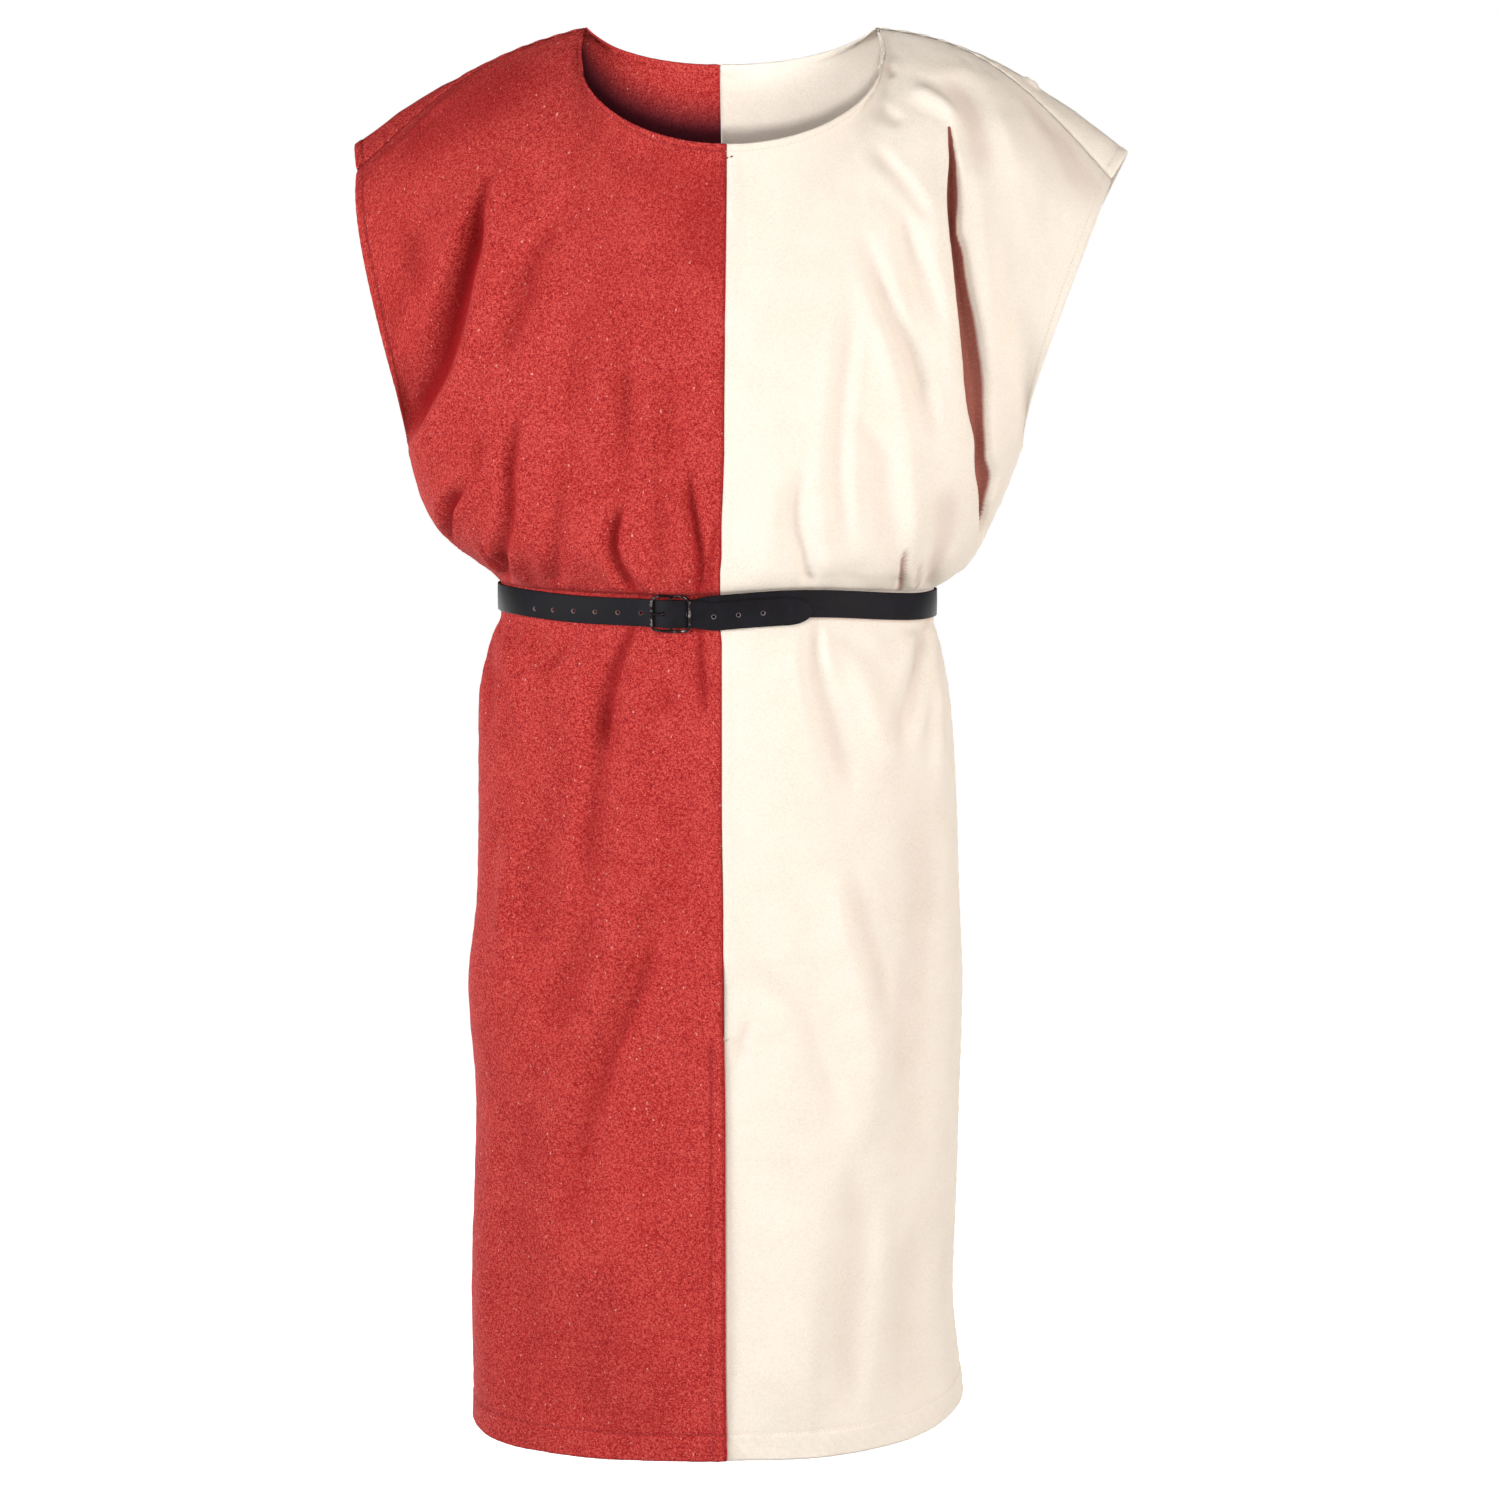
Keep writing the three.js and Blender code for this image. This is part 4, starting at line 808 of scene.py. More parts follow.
def foldRelief(points, normals, foldRows, steep=False):
    # Inward depth of all folds, and each spot's share of painted shade; for steep ones its place across.
    x, down = points[..., 0], -points[..., 2]
    relief, shade = np.zeros(x.shape), np.full(x.shape, float(folding["far"] if steep else 0))
    for path, depth, skew, darkness in foldRows:
        seats = []
        for atX, atDown, half in path:
            nearest = np.argmin((x - atX) ** 2 + (down - atDown) ** 2)
            seats.append([*points.reshape(-1, 3)[nearest], half])
        line = spline(seats, folding["mouthStep" if steep else "step"])
        line, halves = line[:, :3], np.maximum(line[:, 3], folding["leastHalf"])
        reach = folding["reach"] * halves.max()
        near = np.all((points > line.min(0) - reach) & (points < line.max(0) + reach), axis=-1)
        share, aside, half = besideLine(line, halves, points[near], normals[near])
        if steep:
            q = np.minimum(np.abs(aside) / half, folding["far"])
            relief[near] += depth * smooth(half / folding["mouthFull"]) / (1 + q ** folding["mouthPower"])
            shade[near] = np.minimum(shade[near], q)
            continue
        q = aside / (half * (1 + skew * np.sign(aside)))
        # A fold fades at its ends, but runs on to the belt where it meets it.
        fade = 1
        if abs(path[0][1] - band["bottom"]) >= folding["meetsBelt"]:
            fade = smooth(share / folding["fade"])
        if abs(path[-1][1] - band["top"]) >= folding["meetsBelt"]:
            fade = fade * smooth((1 - share) / folding["fade"])
        wide = q / folding["widen"]
        lips = folding["lip"] * bell((np.abs(wide) - folding["lipAt"]) / folding["lipWidth"])
        relief[near] += depth * fade * (bell(wide) - lips)
        shade[near] = np.maximum(shade[near], darkness * fade * np.exp(-(np.abs(q) ** 3)))
    return relief, shade


def easeAcross(base, fromTop):
    # Evens the yoke out across its columns below the neck point, where cloth takes no sharp line.
    share = smooth(fromTop / texture["easeReach"])[:, 1:-1, None] * 0.5
    for _ in range(texture["easeRounds"]):
        middle = base[:, 1:-1]
        base[:, 1:-1] = middle + share * (base[:, :-2] + base[:, 2:] - 2 * middle)
    return base


def plainPanel(name, side, face):
    # The panel without its folds, and where each spot lies on it.
    u, down = panelColumns(name), panelRows()
    t = np.linspace(0, 1, panelGrid["yokeRows"], endpoint=False)
    skirt = sectionPoint(side, face, u[None, :], down[:, None])
    joined = np.concatenate([yokePoint(side, face, u, t), skirt])
    easeFrom, easeTo = texture["easeEnd"]
    fade = 1 - smooth((-joined[..., 2] - easeFrom) / (easeTo - easeFrom))
    eased = easeAcross(joined.copy(), lengthsAlong(joined, 0))
    base = joined + (eased - joined) * fade[..., None]
    fromTop, fromCentre = lengthsAlong(base, 0), lengthsAlong(base, 1)
    depth = -base[..., 2]
    level = depth.copy()
    level[len(t):] = down[:, None]  # as if the belt lay level
    return base, {
        "u": u, "yokeRows": len(t), "depth": depth, "level": level,
        "fromTop": fromTop, "fromCentre": fromCentre,
        "fromHem": fromTop[-1:] - fromTop, "fromSide": fromCentre[:, -1:] - fromCentre,
        "inYoke": np.arange(len(base))[:, None] < len(t), "onShoulder": (u >= neck["share"])[None, :],
        "inSlit": depth > slit["topDown"],
    }


def looseRelief(name, at, sunk, seed):
    # Folds, waves, crinkles and the gathers at the belt; all of it dies out at seams and edges.
    armCalm = np.where(at["inYoke"], texture["calmArmhole"], texture["calmSeam"])
    seamCalm = smooth(at["fromCentre"] / texture["calmSeam"]) * smooth(at["fromSide"] / armCalm)
    topCalm = smooth(at["fromTop"] / texture["calmTop"])
    neckCalm = texture["calmNeck"] + (1 - texture["calmNeck"]) * topCalm
    edgeCalm = np.where(at["onShoulder"], topCalm, neckCalm) * seamCalm
    move = -sunk * edgeCalm
    waves = ripples(at["fromCentre"], at["fromHem"] * texture["wavesLong"], texture["wavesSize"], seed)
    crinkle = ripples(
        at["fromCentre"], at["fromHem"], texture["crinkleSize"], seed + 1, texture["crinkleCount"])
    move += (waves * texture["waves"] + crinkle * texture["crinkle"]) * edgeCalm
    tucks = ripples(
        at["fromCentre"] + texture["gatherSlant"] * at["depth"], 0 * at["depth"], texture["gatherSize"],
        seed + 2, texture["gatherCount"])
    nearBelt = np.where(
        at["level"] < band["top"], np.exp(-(band["top"] - at["level"]) / texture["gatherUp"]),
        np.exp(-(at["level"] - band["bottom"]) / texture["gatherDown"]))
    move += tucks * texture["gather"] * nearBelt * edgeCalm
    if name == "front_left_cream":
        settled = smooth((at["depth"] - slit["topDown"] + slit["settle"]) / (slit["settle"] / 2))
        move -= slit["setBack"] * settled * (1 - smooth(at["u"] / slit["reach"]))[None, :]
    return move


def seamRelief(distance, along, pitch, start):
    # A slight valley with small puckers beside it and pressed allowances under it.
    drift = seams["drift"] * np.sin(along / seams["driftSize"] + start)
    pull = np.sin(2 * math.pi * along / pitch + drift + start)
    valley = -seams["valley"] * bell(distance / seams["valleyWidth"])
    pressed = 1 - smooth((distance - seams["allowanceWidth"]) / seams["allowanceEdge"])
    puckers = seams["pucker"] * pull * bell((distance - seams["puckerAt"]) / seams["puckerWidth"])
    return valley + seams["allowance"] * pressed + puckers


def hemRelief(side, face, at, seed):
    # Double cloth with a dent along the stitching and short slanting pulls, and the shade painted along the
    # dent.
    edges = [
        (at["fromTop"], cloth["neckHem"], np.where(at["onShoulder"], 0, 1), at["fromCentre"]),
        (at["fromSide"], cloth["armHem"], np.where(at["inYoke"], 1, 0), at["fromTop"]),
        (at["fromHem"], cloth["bottomHem"], np.ones_like(at["depth"]), at["fromCentre"]),
    ]
    if face == "front":
        where = np.where(at["inSlit"], 1, 0)
        edges.append((at["fromCentre"], cloth["slitHem"][side], where, at["fromHem"]))
    relief, hemmed, paintedStitchShade = (np.zeros_like(at["depth"]) for _ in range(3))
    for distance, width, where, along in edges:
        inside = 1 - smooth((distance - width + hems["edgeStart"]) / hems["edge"])
        drift = hems["drift"] * np.sin(along / hems["driftSize"] + seed)
        pull = np.sin(2 * math.pi * (along + hems["pullSlant"] * distance) / hems["pullPitch"] + drift)
        pull = hems["pull"] * pull * inside * smooth(distance / hems["pullFrom"])
        dent = -hems["dent"][side] * bell((distance - width) / hems["dentWidth"])
        shade = where * hems["shade"][side] * bell((distance - width) / hems["shadeWidth"])
        relief += where * (hems["raise"] * inside + dent + pull)
        hemmed, paintedStitchShade = np.maximum(hemmed, where * inside), np.maximum(paintedStitchShade, shade)
    return relief, hemmed, paintedStitchShade


def panelShade(name, side, face, at, folded, paintedStitchShade):
    # Painted shade: how far the cloth's colour darkens towards the shade colour in folds, along stitching,
    # under the belt, in seams and under the lap.
    above, below, edge = band["shade"]
    outside = np.maximum(band["top"] + above - at["level"], at["level"] - band["bottom"] + below)
    folded = folded * smooth(at["fromTop"] / texture["foldShadeTop"])
    crease = np.maximum(np.maximum(folded, paintedStitchShade), 1 - smooth(outside / edge))
    if face == "front":
        crease = np.maximum(crease, seams["shade"][side] * bell(at["fromCentre"] / seams["shadeWidth"]))
    if name == "front_left_cream":
        underLap = at["inSlit"] * (1 - smooth((at["fromCentre"] - slit["lap"]) / slit["shadeEdge"]))
        crease = np.maximum(crease, slit["shade"] * underLap)
    return crease


def insideShade(side, face, base, at):
    # Painted shade on the inside of the back, just below the line of the front neck.
    openTo = np.clip(np.abs(base[..., 0]) / neck[side], 0, 1)
    frontY = neck["middleY"] - neck["depth"] * np.sqrt(1 - openTo**2)
    below = at["depth"] - neck["slope"]["front"] * np.abs(frontY - neck["seamY"])
    start, reach, strength = texture["crescent"][side]
    endFrom, endReach = texture["crescentEnd"]
    fade = 1 - smooth((below - endFrom) / endReach)
    return smooth((below + start) / reach) * fade * (strength if face == "back" else 0)


def panelSurface(name, side, face):
    # The outside of one panel, and what the wall, its stitches and its material need to know.
    base, at = plainPanel(name, side, face)
    sign, facing = sideSign[side], faceSign[face]
    normals = gridNormals(base, sign * facing)
    seed = texture["seed"] + texture["seedStep"] * list(folds).index(name)
    folded, shade = foldRelief(base, normals, folds[name])
    sunk, mouth = foldRelief(base, normals, mouths.get(name, []), True)
    aboveBelt = (band["top"] - at["level"]) / band["release"][0]
    belowBelt = (at["level"] - band["bottom"]) / band["release"][1]
    clear = smooth(np.maximum(aboveBelt, belowBelt))  # the belt presses the cloth flat
    centreSeam = seamRelief(at["fromCentre"], at["fromHem"], seams["centrePitch"], seed)
    sideSeam = seamRelief(at["fromSide"], at["fromHem"], seams["sidePitch"], seed + 2)
    shoulderSeam = seamRelief(at["fromTop"], at["fromCentre"], seams["shoulderPitch"], seed + 4)
    raised, hemmed, paintedStitchShade = hemRelief(side, face, at, seed)
    move = looseRelief(name, at, folded + sunk, seed) * clear
    move += centreSeam * clear * np.where(at["inSlit"], 0, 1)
    move += sideSeam * clear * np.where(at["inYoke"], 0, 1)
    move += shoulderSeam * np.where(at["onShoulder"] & at["inYoke"], 1, 0)
    points = base + normals * (move + raised)[..., None]

    yokeRows, neckColumns = at["yokeRows"], panelGrid["neckColumns"]
    gap = cloth["seamGap"] / 2
    points[:, 0, 0] += sign * gap
    points[yokeRows:, -1, 1] += facing * gap
    points[0, neckColumns:, 1] += facing * gap
    if name == "front_left_cream":
        lapShare = 1 - smooth(at["u"] / slit["reach"])
        points[..., 0] -= np.where(at["inSlit"], slit["lap"], 0) * lapShare[None, :]
    return {
        "points": points, "normals": gridNormals(points, sign * facing), "hemmed": hemmed, "mouth": mouth,
        "crease": panelShade(name, side, face, at, shade, paintedStitchShade),
        "inShade": insideShade(side, face, base, at),
        "grain": np.stack([at["fromCentre"], at["fromHem"]], axis=-1) * mm,
        "yokeRows": yokeRows, "neckColumns": neckColumns, "slitRows": at["inSlit"][:, 0],
    }


def rimLoop(rows, columns):
    top = [(0, j) for j in range(columns)]
    right = [(i, columns - 1) for i in range(1, rows)]
    bottom = [(rows - 1, j) for j in range(columns - 2, -1, -1)]
    left = [(i, 0) for i in range(rows - 2, 0, -1)]
    return np.array(top + right + bottom + left)


def wallMesh(name, surface, sign):
    # A closed wall: the outside, the inside a thickness behind it, and a rounded rim between them.
    outer, normals = surface["points"], surface["normals"]
    rows, columns = outer.shape[:2]
    wall = cloth["wall"] + (cloth["hemWall"] - cloth["wall"]) * surface["hemmed"]
    inner = outer - normals * wall[..., None]
    loop = rimLoop(rows, columns)
    i, j = loop[:, 0], loop[:, 1]
    inward = outer[np.clip(i, 1, rows - 2), np.clip(j, 1, columns - 2)] - outer[i, j]
    inward /= np.maximum(np.linalg.norm(inward, axis=1, keepdims=True), 1e-9)
    onSide = np.where(j == 0, surface["slitRows"][i], i < surface["yokeRows"])
    free = np.where(i == 0, j < surface["neckColumns"], np.where(i == rows - 1, True, onSide))
    bulge = np.where(free, cloth["freeEdgeBulge"], cloth["sewnEdgeBulge"]) * wall[i, j]
    middle = (outer[i, j] + inner[i, j]) / 2 - inward * bulge[:, None]
    grid = np.arange(rows * columns).reshape(rows, columns)
    quads = np.stack([grid[:-1, :-1], grid[1:, :-1], grid[1:, 1:], grid[:-1, 1:]], axis=-1).reshape(-1, 4)
    shift = rows * columns
    edge, mid = grid[i, j], 2 * shift + np.arange(len(loop))
    ahead, midAhead = np.roll(edge, -1), np.roll(mid, -1)
    faces = np.concatenate([
        quads, quads[:, ::-1] + shift, np.stack([edge, ahead, midAhead, mid], axis=-1),
        np.stack([mid, midAhead, ahead + shift, edge + shift], axis=-1)])
    if sign > 0:
        faces = faces[:, ::-1]
    vertices = np.concatenate([outer.reshape(-1, 3), inner.reshape(-1, 3), middle]) * mm

    def spread(outside, inside, rim):
        # One value for each vertex of the outside, the inside and the rim.
        parts = ((outside, grid.shape), (inside, grid.shape), (rim, edge.shape))
        return np.concatenate([np.broadcast_to(values, shape).ravel() for values, shape in parts])

    grain, far = surface["grain"], folding["far"]
    # The first three values carry painted shade to the material: in folds, seams, hems and under belt and
    # lap; on the inner back; and across the fold mouth, whose floor is painted in shade.
    return makeMesh(name, vertices, faces, {
        "crease": spread(surface["crease"], 0.0, 0.0),
        "inShade": spread(0.0, surface["inShade"], 0.0),
        "mouth": spread(surface["mouth"], far, far),
        "grain": np.concatenate([
            grain.reshape(-1, 2), grain.reshape(-1, 2) + cloth["innerGrain"], grain[i, j]]),
    })


def makeMesh(name, vertices, faces, perVertex=None):
    mesh = bpy.data.meshes.new(name)
    faces = faces.tolist() if isinstance(faces, np.ndarray) else faces
    mesh.from_pydata(np.asarray(vertices, float).tolist(), [], faces)
    mesh.update()
    mesh.polygons.foreach_set("use_smooth", np.ones(len(mesh.polygons), bool))
    for key, values in (perVertex or {}).items():
        if key == "grain":
            layer = mesh.uv_layers.new(name=key)
            corner = np.zeros(len(mesh.loops), np.int32)
            mesh.loops.foreach_get("vertex_index", corner)
            layer.data.foreach_set("uv", values[corner].astype(np.float32).ravel())
        else:
            attribute = mesh.attributes.new(key, "FLOAT", "POINT")
            attribute.data.foreach_set("value", values.astype(np.float32))
    piece = bpy.data.objects.new(name, mesh)
    bpy.context.scene.collection.objects.link(piece)
    return piece


surfaces = {}
panels = {
    "front_right_red": ("red", "front"), "front_left_cream": ("cream", "front"),
    "back_right_red": ("red", "back"), "back_left_cream": ("cream", "back"),
}
clothPieces = {}
for name, (side, face) in panels.items():
    surface = panelSurface(name, side, face)
    surfaces[name] = surface
    piece = wallMesh(name + "_cloth", surface, -sideSign[side] * faceSign[face])
    piece.data.materials.append(looks[side])
    clothPieces[name] = piece
    print(name, "built", len(piece.data.polygons), "faces")


# The belt, in millimetres. A place s runs round the waist from the centre front towards +X.
# The pairs say where a rise or fall starts, counted from the buckle, and over what reach.
belt = {
    "thickness": 2.0, "width": 20.5, "gap": 0.5, "lapDrop": 2.2, "buckleX": -36,
    "underRise": (12, 16), "underFall": (60, 90), "lapSag": 3.1, "sagFrom": 14, "sagReach": 20,
    "holeRadius": 1.3, "holeRim": 0.5, "holeSpacing": 18, "holesBefore": 6, "holesAfter": 4,
    "holeStepDown": 0.35, "prongHole": -4.8, "prongHoleRadius": 1.7,
    "drillSides": 20, "drillPast": 8, "prongDrillFrom": 2.2, "prongDrillReach": 15,
    "tipPast": 104, "tipLength": 20, "tipPower": 2.2, "foldEnd": 9, "foldTurns": (78, 271, 12),
    "roundFrom": 4, "lapFrom": 34, "lapFlatFrom": 36, "aroundStep": 12, "waistSteps": 1440,
    "edgeRound": 0.6, "tipInset": 0.9, "crown": 0.12, "step": 2.0, "sharpAngle": 40,
}
buckle = {
    "halfWidth": 14, "halfHeight": 12.2, "bulge": 1.1, "barRadius": 1.1, "centreOut": 3.75,
    "sideRise": 4.7, "squareness": 0.3, "framePoints": 96, "barPoints": 9, "sides": 14,
    "prongRadius": 0.9, "prongStep": 0.8,
    "ringRadius": 2.1, "ringRod": 0.7, "ringPoints": 32, "ringSides": 12,
}


def waistLine():
    row = readTable(sections, band["down"])
    angle = np.linspace(0, 2 * math.pi, belt["waistSteps"] + 1)
    halfWidth = np.where(np.sin(angle) >= 0, row["cream"], row["red"])
    depth = np.where(np.cos(angle) >= 0, row["front"], row["back"])
    x = row["seam"] * (1 - np.abs(np.sin(angle))) + halfWidth * np.sin(angle)
    y = -depth * np.cos(angle)
    length = np.concatenate([[0], np.cumsum(np.hypot(np.diff(x), np.diff(y)))])
    alongX, alongY = np.gradient(x), np.gradient(y)
    size = np.hypot(alongX, alongY)
    return {"length": length, "x": x, "y": y, "outX": alongY / size, "outY": -alongX / size}


waist = waistLine()
waistLength = waist["length"][-1]


def aroundWaist(s, out, z):
    place = np.mod(s, waistLength)
    x, y, outX, outY = (np.interp(place, waist["length"], waist[key]) for key in ("x", "y", "outX", "outY"))
    size = np.hypot(outX, outY)
    x, y = x + outX / size * out, y + outY / size * out
    rise = np.where(y < 0, bandRise(x), 0)
    return np.stack(np.broadcast_arrays(x, y, z + rise - band["down"] - band["tilt"] * x), axis=-1)


def strapRun():
    # Folded round the centre bar, once round the waist, over the buckle and out to the tip.
    at, gap, thickness = belt["buckleX"], belt["gap"], belt["thickness"]
    resting, layer = gap + thickness / 2, thickness + gap
    loop = buckle["barRadius"] + gap + thickness / 2
    run = [  # the folded end, which lies on the strap: along, and out from the waist
        (at + belt["foldEnd"], resting + layer), (at + 7, resting + layer + 0.2),
        (at + 4.5, buckle["centreOut"] + loop - 1.0)]
    for turn in range(*belt["foldTurns"]):
        angle = math.radians(turn)
        run.append((at + loop * math.cos(angle), buckle["centreOut"] + loop * math.sin(angle)))
    s = at + belt["roundFrom"]
    while s < waistLength + at - belt["lapFrom"]:
        run.append((s, resting))
        s += belt["aroundStep"]
    over = buckle["centreOut"] + loop + layer
    lap = [  # past the bar, and out from the waist
        (-28, resting + 0.1), (-22, resting + 0.8), (-14, resting + 3.4), (-8, over - 1.9),
        (-3.5, over - 0.25), (0, over), (4, over - 0.3), (9, over - 1.9), (14, over - 3.5),
        (20, resting + layer + 0.5), (27, resting + layer)]
    run += [(waistLength + at + past, out) for past, out in lap]
    s = belt["lapFlatFrom"]
    while s < belt["tipPast"]:
        run.append((waistLength + at + s, resting + layer))
        s += belt["aroundStep"]
    run.append((waistLength + at + belt["tipPast"], resting + layer))
    return spline(run, belt["step"])


def strapRise(s):
    # Past the buckle the under layer rises and the lap sinks, so that both edges show.
    riseStart, riseReach = belt["underRise"]
    fallStart, fallReach = belt["underFall"]
    lapStart = waistLength + belt["buckleX"]
    pastBuckle = smooth((s - belt["buckleX"] - riseStart) / riseReach)
    beforeLap = smooth((lapStart - fallStart - s) / fallReach)
    alongLap = smooth((s - lapStart - belt["sagFrom"]) / belt["sagReach"])
    return -belt["lapDrop"] * (1 - pastBuckle * beforeLap) - belt["lapSag"] * alongLap


def strapRings():
    run = strapRun()
    along = np.gradient(run, axis=0)
    along /= np.linalg.norm(along, axis=1, keepdims=True)
    s, out = run[:, 0], run[:, 1]
    toTip = waistLength + belt["buckleX"] + belt["tipPast"] - s
    share = np.clip(1 - toTip / belt["tipLength"], 0, 0.9995)  # the very tip stays just open
    reach = belt["width"] / 2 * np.sqrt(1 - share ** belt["tipPower"])
    rise = strapRise(s)
    half, curve = belt["thickness"] / 2, belt["edgeRound"]
    ring = []  # (layer, across, how far in from the edge) once round the strap's section
    for layer, order in ((1, 1), (-1, -1)):
        for edge in (-order, order):
            turns = [0, 30, 60, 90] if edge == order else [90, 60, 30, 0]
            turns = [math.radians(turn) for turn in turns]
            ring += [(layer, edge, math.sin(turn), math.cos(turn)) for turn in turns]
        ring.insert(len(ring) - 4, (layer, 0, 0, 1))
    rings = []
    for layer, edge, sideways, upward in ring:
        inset = np.minimum(curve, reach * belt["tipInset"])
        lift = layer * (half - curve * (1 - upward)) + (layer * belt["crown"] if edge == 0 else 0)
        across = edge * (reach - inset * (1 - sideways))
        rings.append(aroundWaist(s - along[:, 1] * lift, out + along[:, 0] * lift, rise + across))
    edges = np.array([0.0 if edge == 0 else sideways for _, edge, sideways, _ in ring])
    return np.stack(rings, axis=1), edges


def tubeFaces(stations, around, start=0, loop=False):
    # Quads between rings of points, with the two ends closed.
    faces = []
    for i in range(stations if loop else stations - 1):
        here, there = start + i * around, start + ((i + 1) % stations) * around
        for j in range(around):
            after = (j + 1) % around
            faces.append([here + j, there + j, there + after, here + after])
    if not loop:
        last = start + (stations - 1) * around
        faces.append([start + j for j in range(around)])
        faces.append([last + j for j in reversed(range(around))])
    return faces


def rodRings(points, radii, sides):
    # Rings of a round rod along points that are already in place.
    closed = np.linalg.norm(points[0] - points[-1]) < 1e-6
    line = points[:-1] if closed else points
    radii = np.broadcast_to(radii, len(points))[:len(line)]
    if closed:
        along = np.roll(line, -1, axis=0) - np.roll(line, 1, axis=0)
    else:
        along = np.gradient(line, axis=0)
    along /= np.linalg.norm(along, axis=1, keepdims=True)
    spread = np.ptp(line, axis=0)
    isLevel = spread[2] < 0.2 * max(spread)
    guide = np.array([0, 0, 1.0] if isLevel else [0, -1.0, 0])  # up, or out to the front
    first = guide - (along @ guide)[:, None] * along
    first /= np.linalg.norm(first, axis=1, keepdims=True)
    second = np.cross(along, first)
    angle = 2 * math.pi * np.arange(sides) / sides
    away = first[:, None] * np.cos(angle)[:, None] + second[:, None] * np.sin(angle)[:, None]
    return line[:, None] + radii[:, None, None] * away, closed


def joinRods(name, rods):
    # Several closed rods as one piece, in metres, with their faces turned outwards.
    vertices, faces = [], []
    for points, radii, sides in rods:
        rings, closed = rodRings(np.asarray(points, float), radii, sides)
        faces += tubeFaces(len(rings), sides, sum(len(v) for v in vertices), closed)
        vertices.append(rings.reshape(-1, 3))
    piece = makeMesh(name, np.concatenate(vertices) * mm, faces)
    turnOutwards(piece)
    return piece


def turnOutwards(piece):
    shape = bmesh.new()
    shape.from_mesh(piece.data)
    bmesh.ops.remove_doubles(shape, verts=shape.verts, dist=1e-7)
    bmesh.ops.recalc_face_normals(shape, faces=shape.faces)
    shape.to_mesh(piece.data)
    shape.free()


def bakeModifiers(piece):
    view = bpy.context.evaluated_depsgraph_get()
    made = bpy.data.meshes.new_from_object(piece.evaluated_get(view))
    made.name = piece.name
    piece.modifiers.clear()
    piece.data = made


def rodEnds(radius, count, endShare=0.45, nextShare=0.88):
    # Radii that round a rod off at both ends.
    radii = np.full(count, float(radius))
    radii[[0, -1]] *= endShare
    radii[[1, -2]] *= nextShare
    return radii


def buildStrap():
    rings, edges = strapRings()
    stations, around = rings.shape[:2]
    faces, perVertex = tubeFaces(stations, around), {"edge": np.tile(edges, stations)}
    piece = makeMesh("belt_strap_leather", rings.reshape(-1, 3) * mm, faces, perVertex)
    turnOutwards(piece)
    drills, rim, layer = [], belt["holeRim"], belt["thickness"] + belt["gap"]
    for k in range(-belt["holesBefore"], belt["holesAfter"] + 1):
        s = belt["buckleX"] + belt["prongHole"] + k * belt["holeSpacing"]
        z = strapRise(waistLength + s) if k > 0 else belt["holeStepDown"] * k - belt["lapDrop"]
        if k == 0:  # the prong's own hole
            start = buckle["centreOut"] + belt["prongDrillFrom"]
            depths, radii = [start, start + belt["prongDrillReach"]], [belt["prongHoleRadius"]] * 2
        else:  # a hole with a slanting rim, through the lap alone where the strap lies double
            start = belt["thickness"] + belt["gap"] * 1.5 if k > 0 else belt["gap"] - 1
            face, radius = layer * (2 if k > 0 else 1), belt["holeRadius"]
            depths = [start, face - rim, face + 0.1, face + belt["drillPast"]]
            radii = [radius, radius, radius + rim, radius + rim]
        count = len(depths)
        line = aroundWaist(np.full(count, float(s)), np.array(depths), np.full(count, float(z)))
        drills.append((line, radii, belt["drillSides"]))
    cutter = joinRods("strap_drills", drills)
    cutter.data.materials.append(looks["cutLeather"])
    piece.data.materials.append(looks["leather"])
    holes = piece.modifiers.new("holes", "BOOLEAN")
    holes.operation = "DIFFERENCE"
    holes.solver = "EXACT"
    holes.object = cutter
    holes.material_mode = "TRANSFER"
    bakeModifiers(piece)
    bpy.data.objects.remove(cutter)
    piece.data.polygons.foreach_set("use_smooth", np.ones(len(piece.data.polygons), bool))
    piece.data.set_sharp_from_angle(angle=math.radians(belt["sharpAngle"]))
    return piece


def buildBuckle():
    at, z = belt["buckleX"], -belt["lapDrop"]
    angle = 2 * math.pi * np.arange(buckle["framePoints"] + 1) / buckle["framePoints"]
    c, s = np.cos(angle), np.sin(angle)
    across = buckle["halfWidth"] * np.sign(c) * np.abs(c) ** buckle["squareness"]
    share = (across / buckle["halfWidth"]) ** 2
    tall = buckle["halfHeight"] + buckle["bulge"] * (1 - share)
    up = np.sign(s) * np.abs(s) ** buckle["squareness"] * tall
    loop = aroundWaist(at + across, buckle["centreOut"] + buckle["sideRise"] * share, z + up)
    loop[-1] = loop[0]
    barEnd = buckle["halfHeight"] + buckle["bulge"]
    heights = z + np.linspace(-barEnd, barEnd, buckle["barPoints"])
    bar = aroundWaist(np.full(len(heights), float(at)), buckle["centreOut"], heights)
    rods = [(rod, buckle["barRadius"], buckle["sides"]) for rod in (loop, bar)]
    return joinRods("buckle_frame_metal", rods)


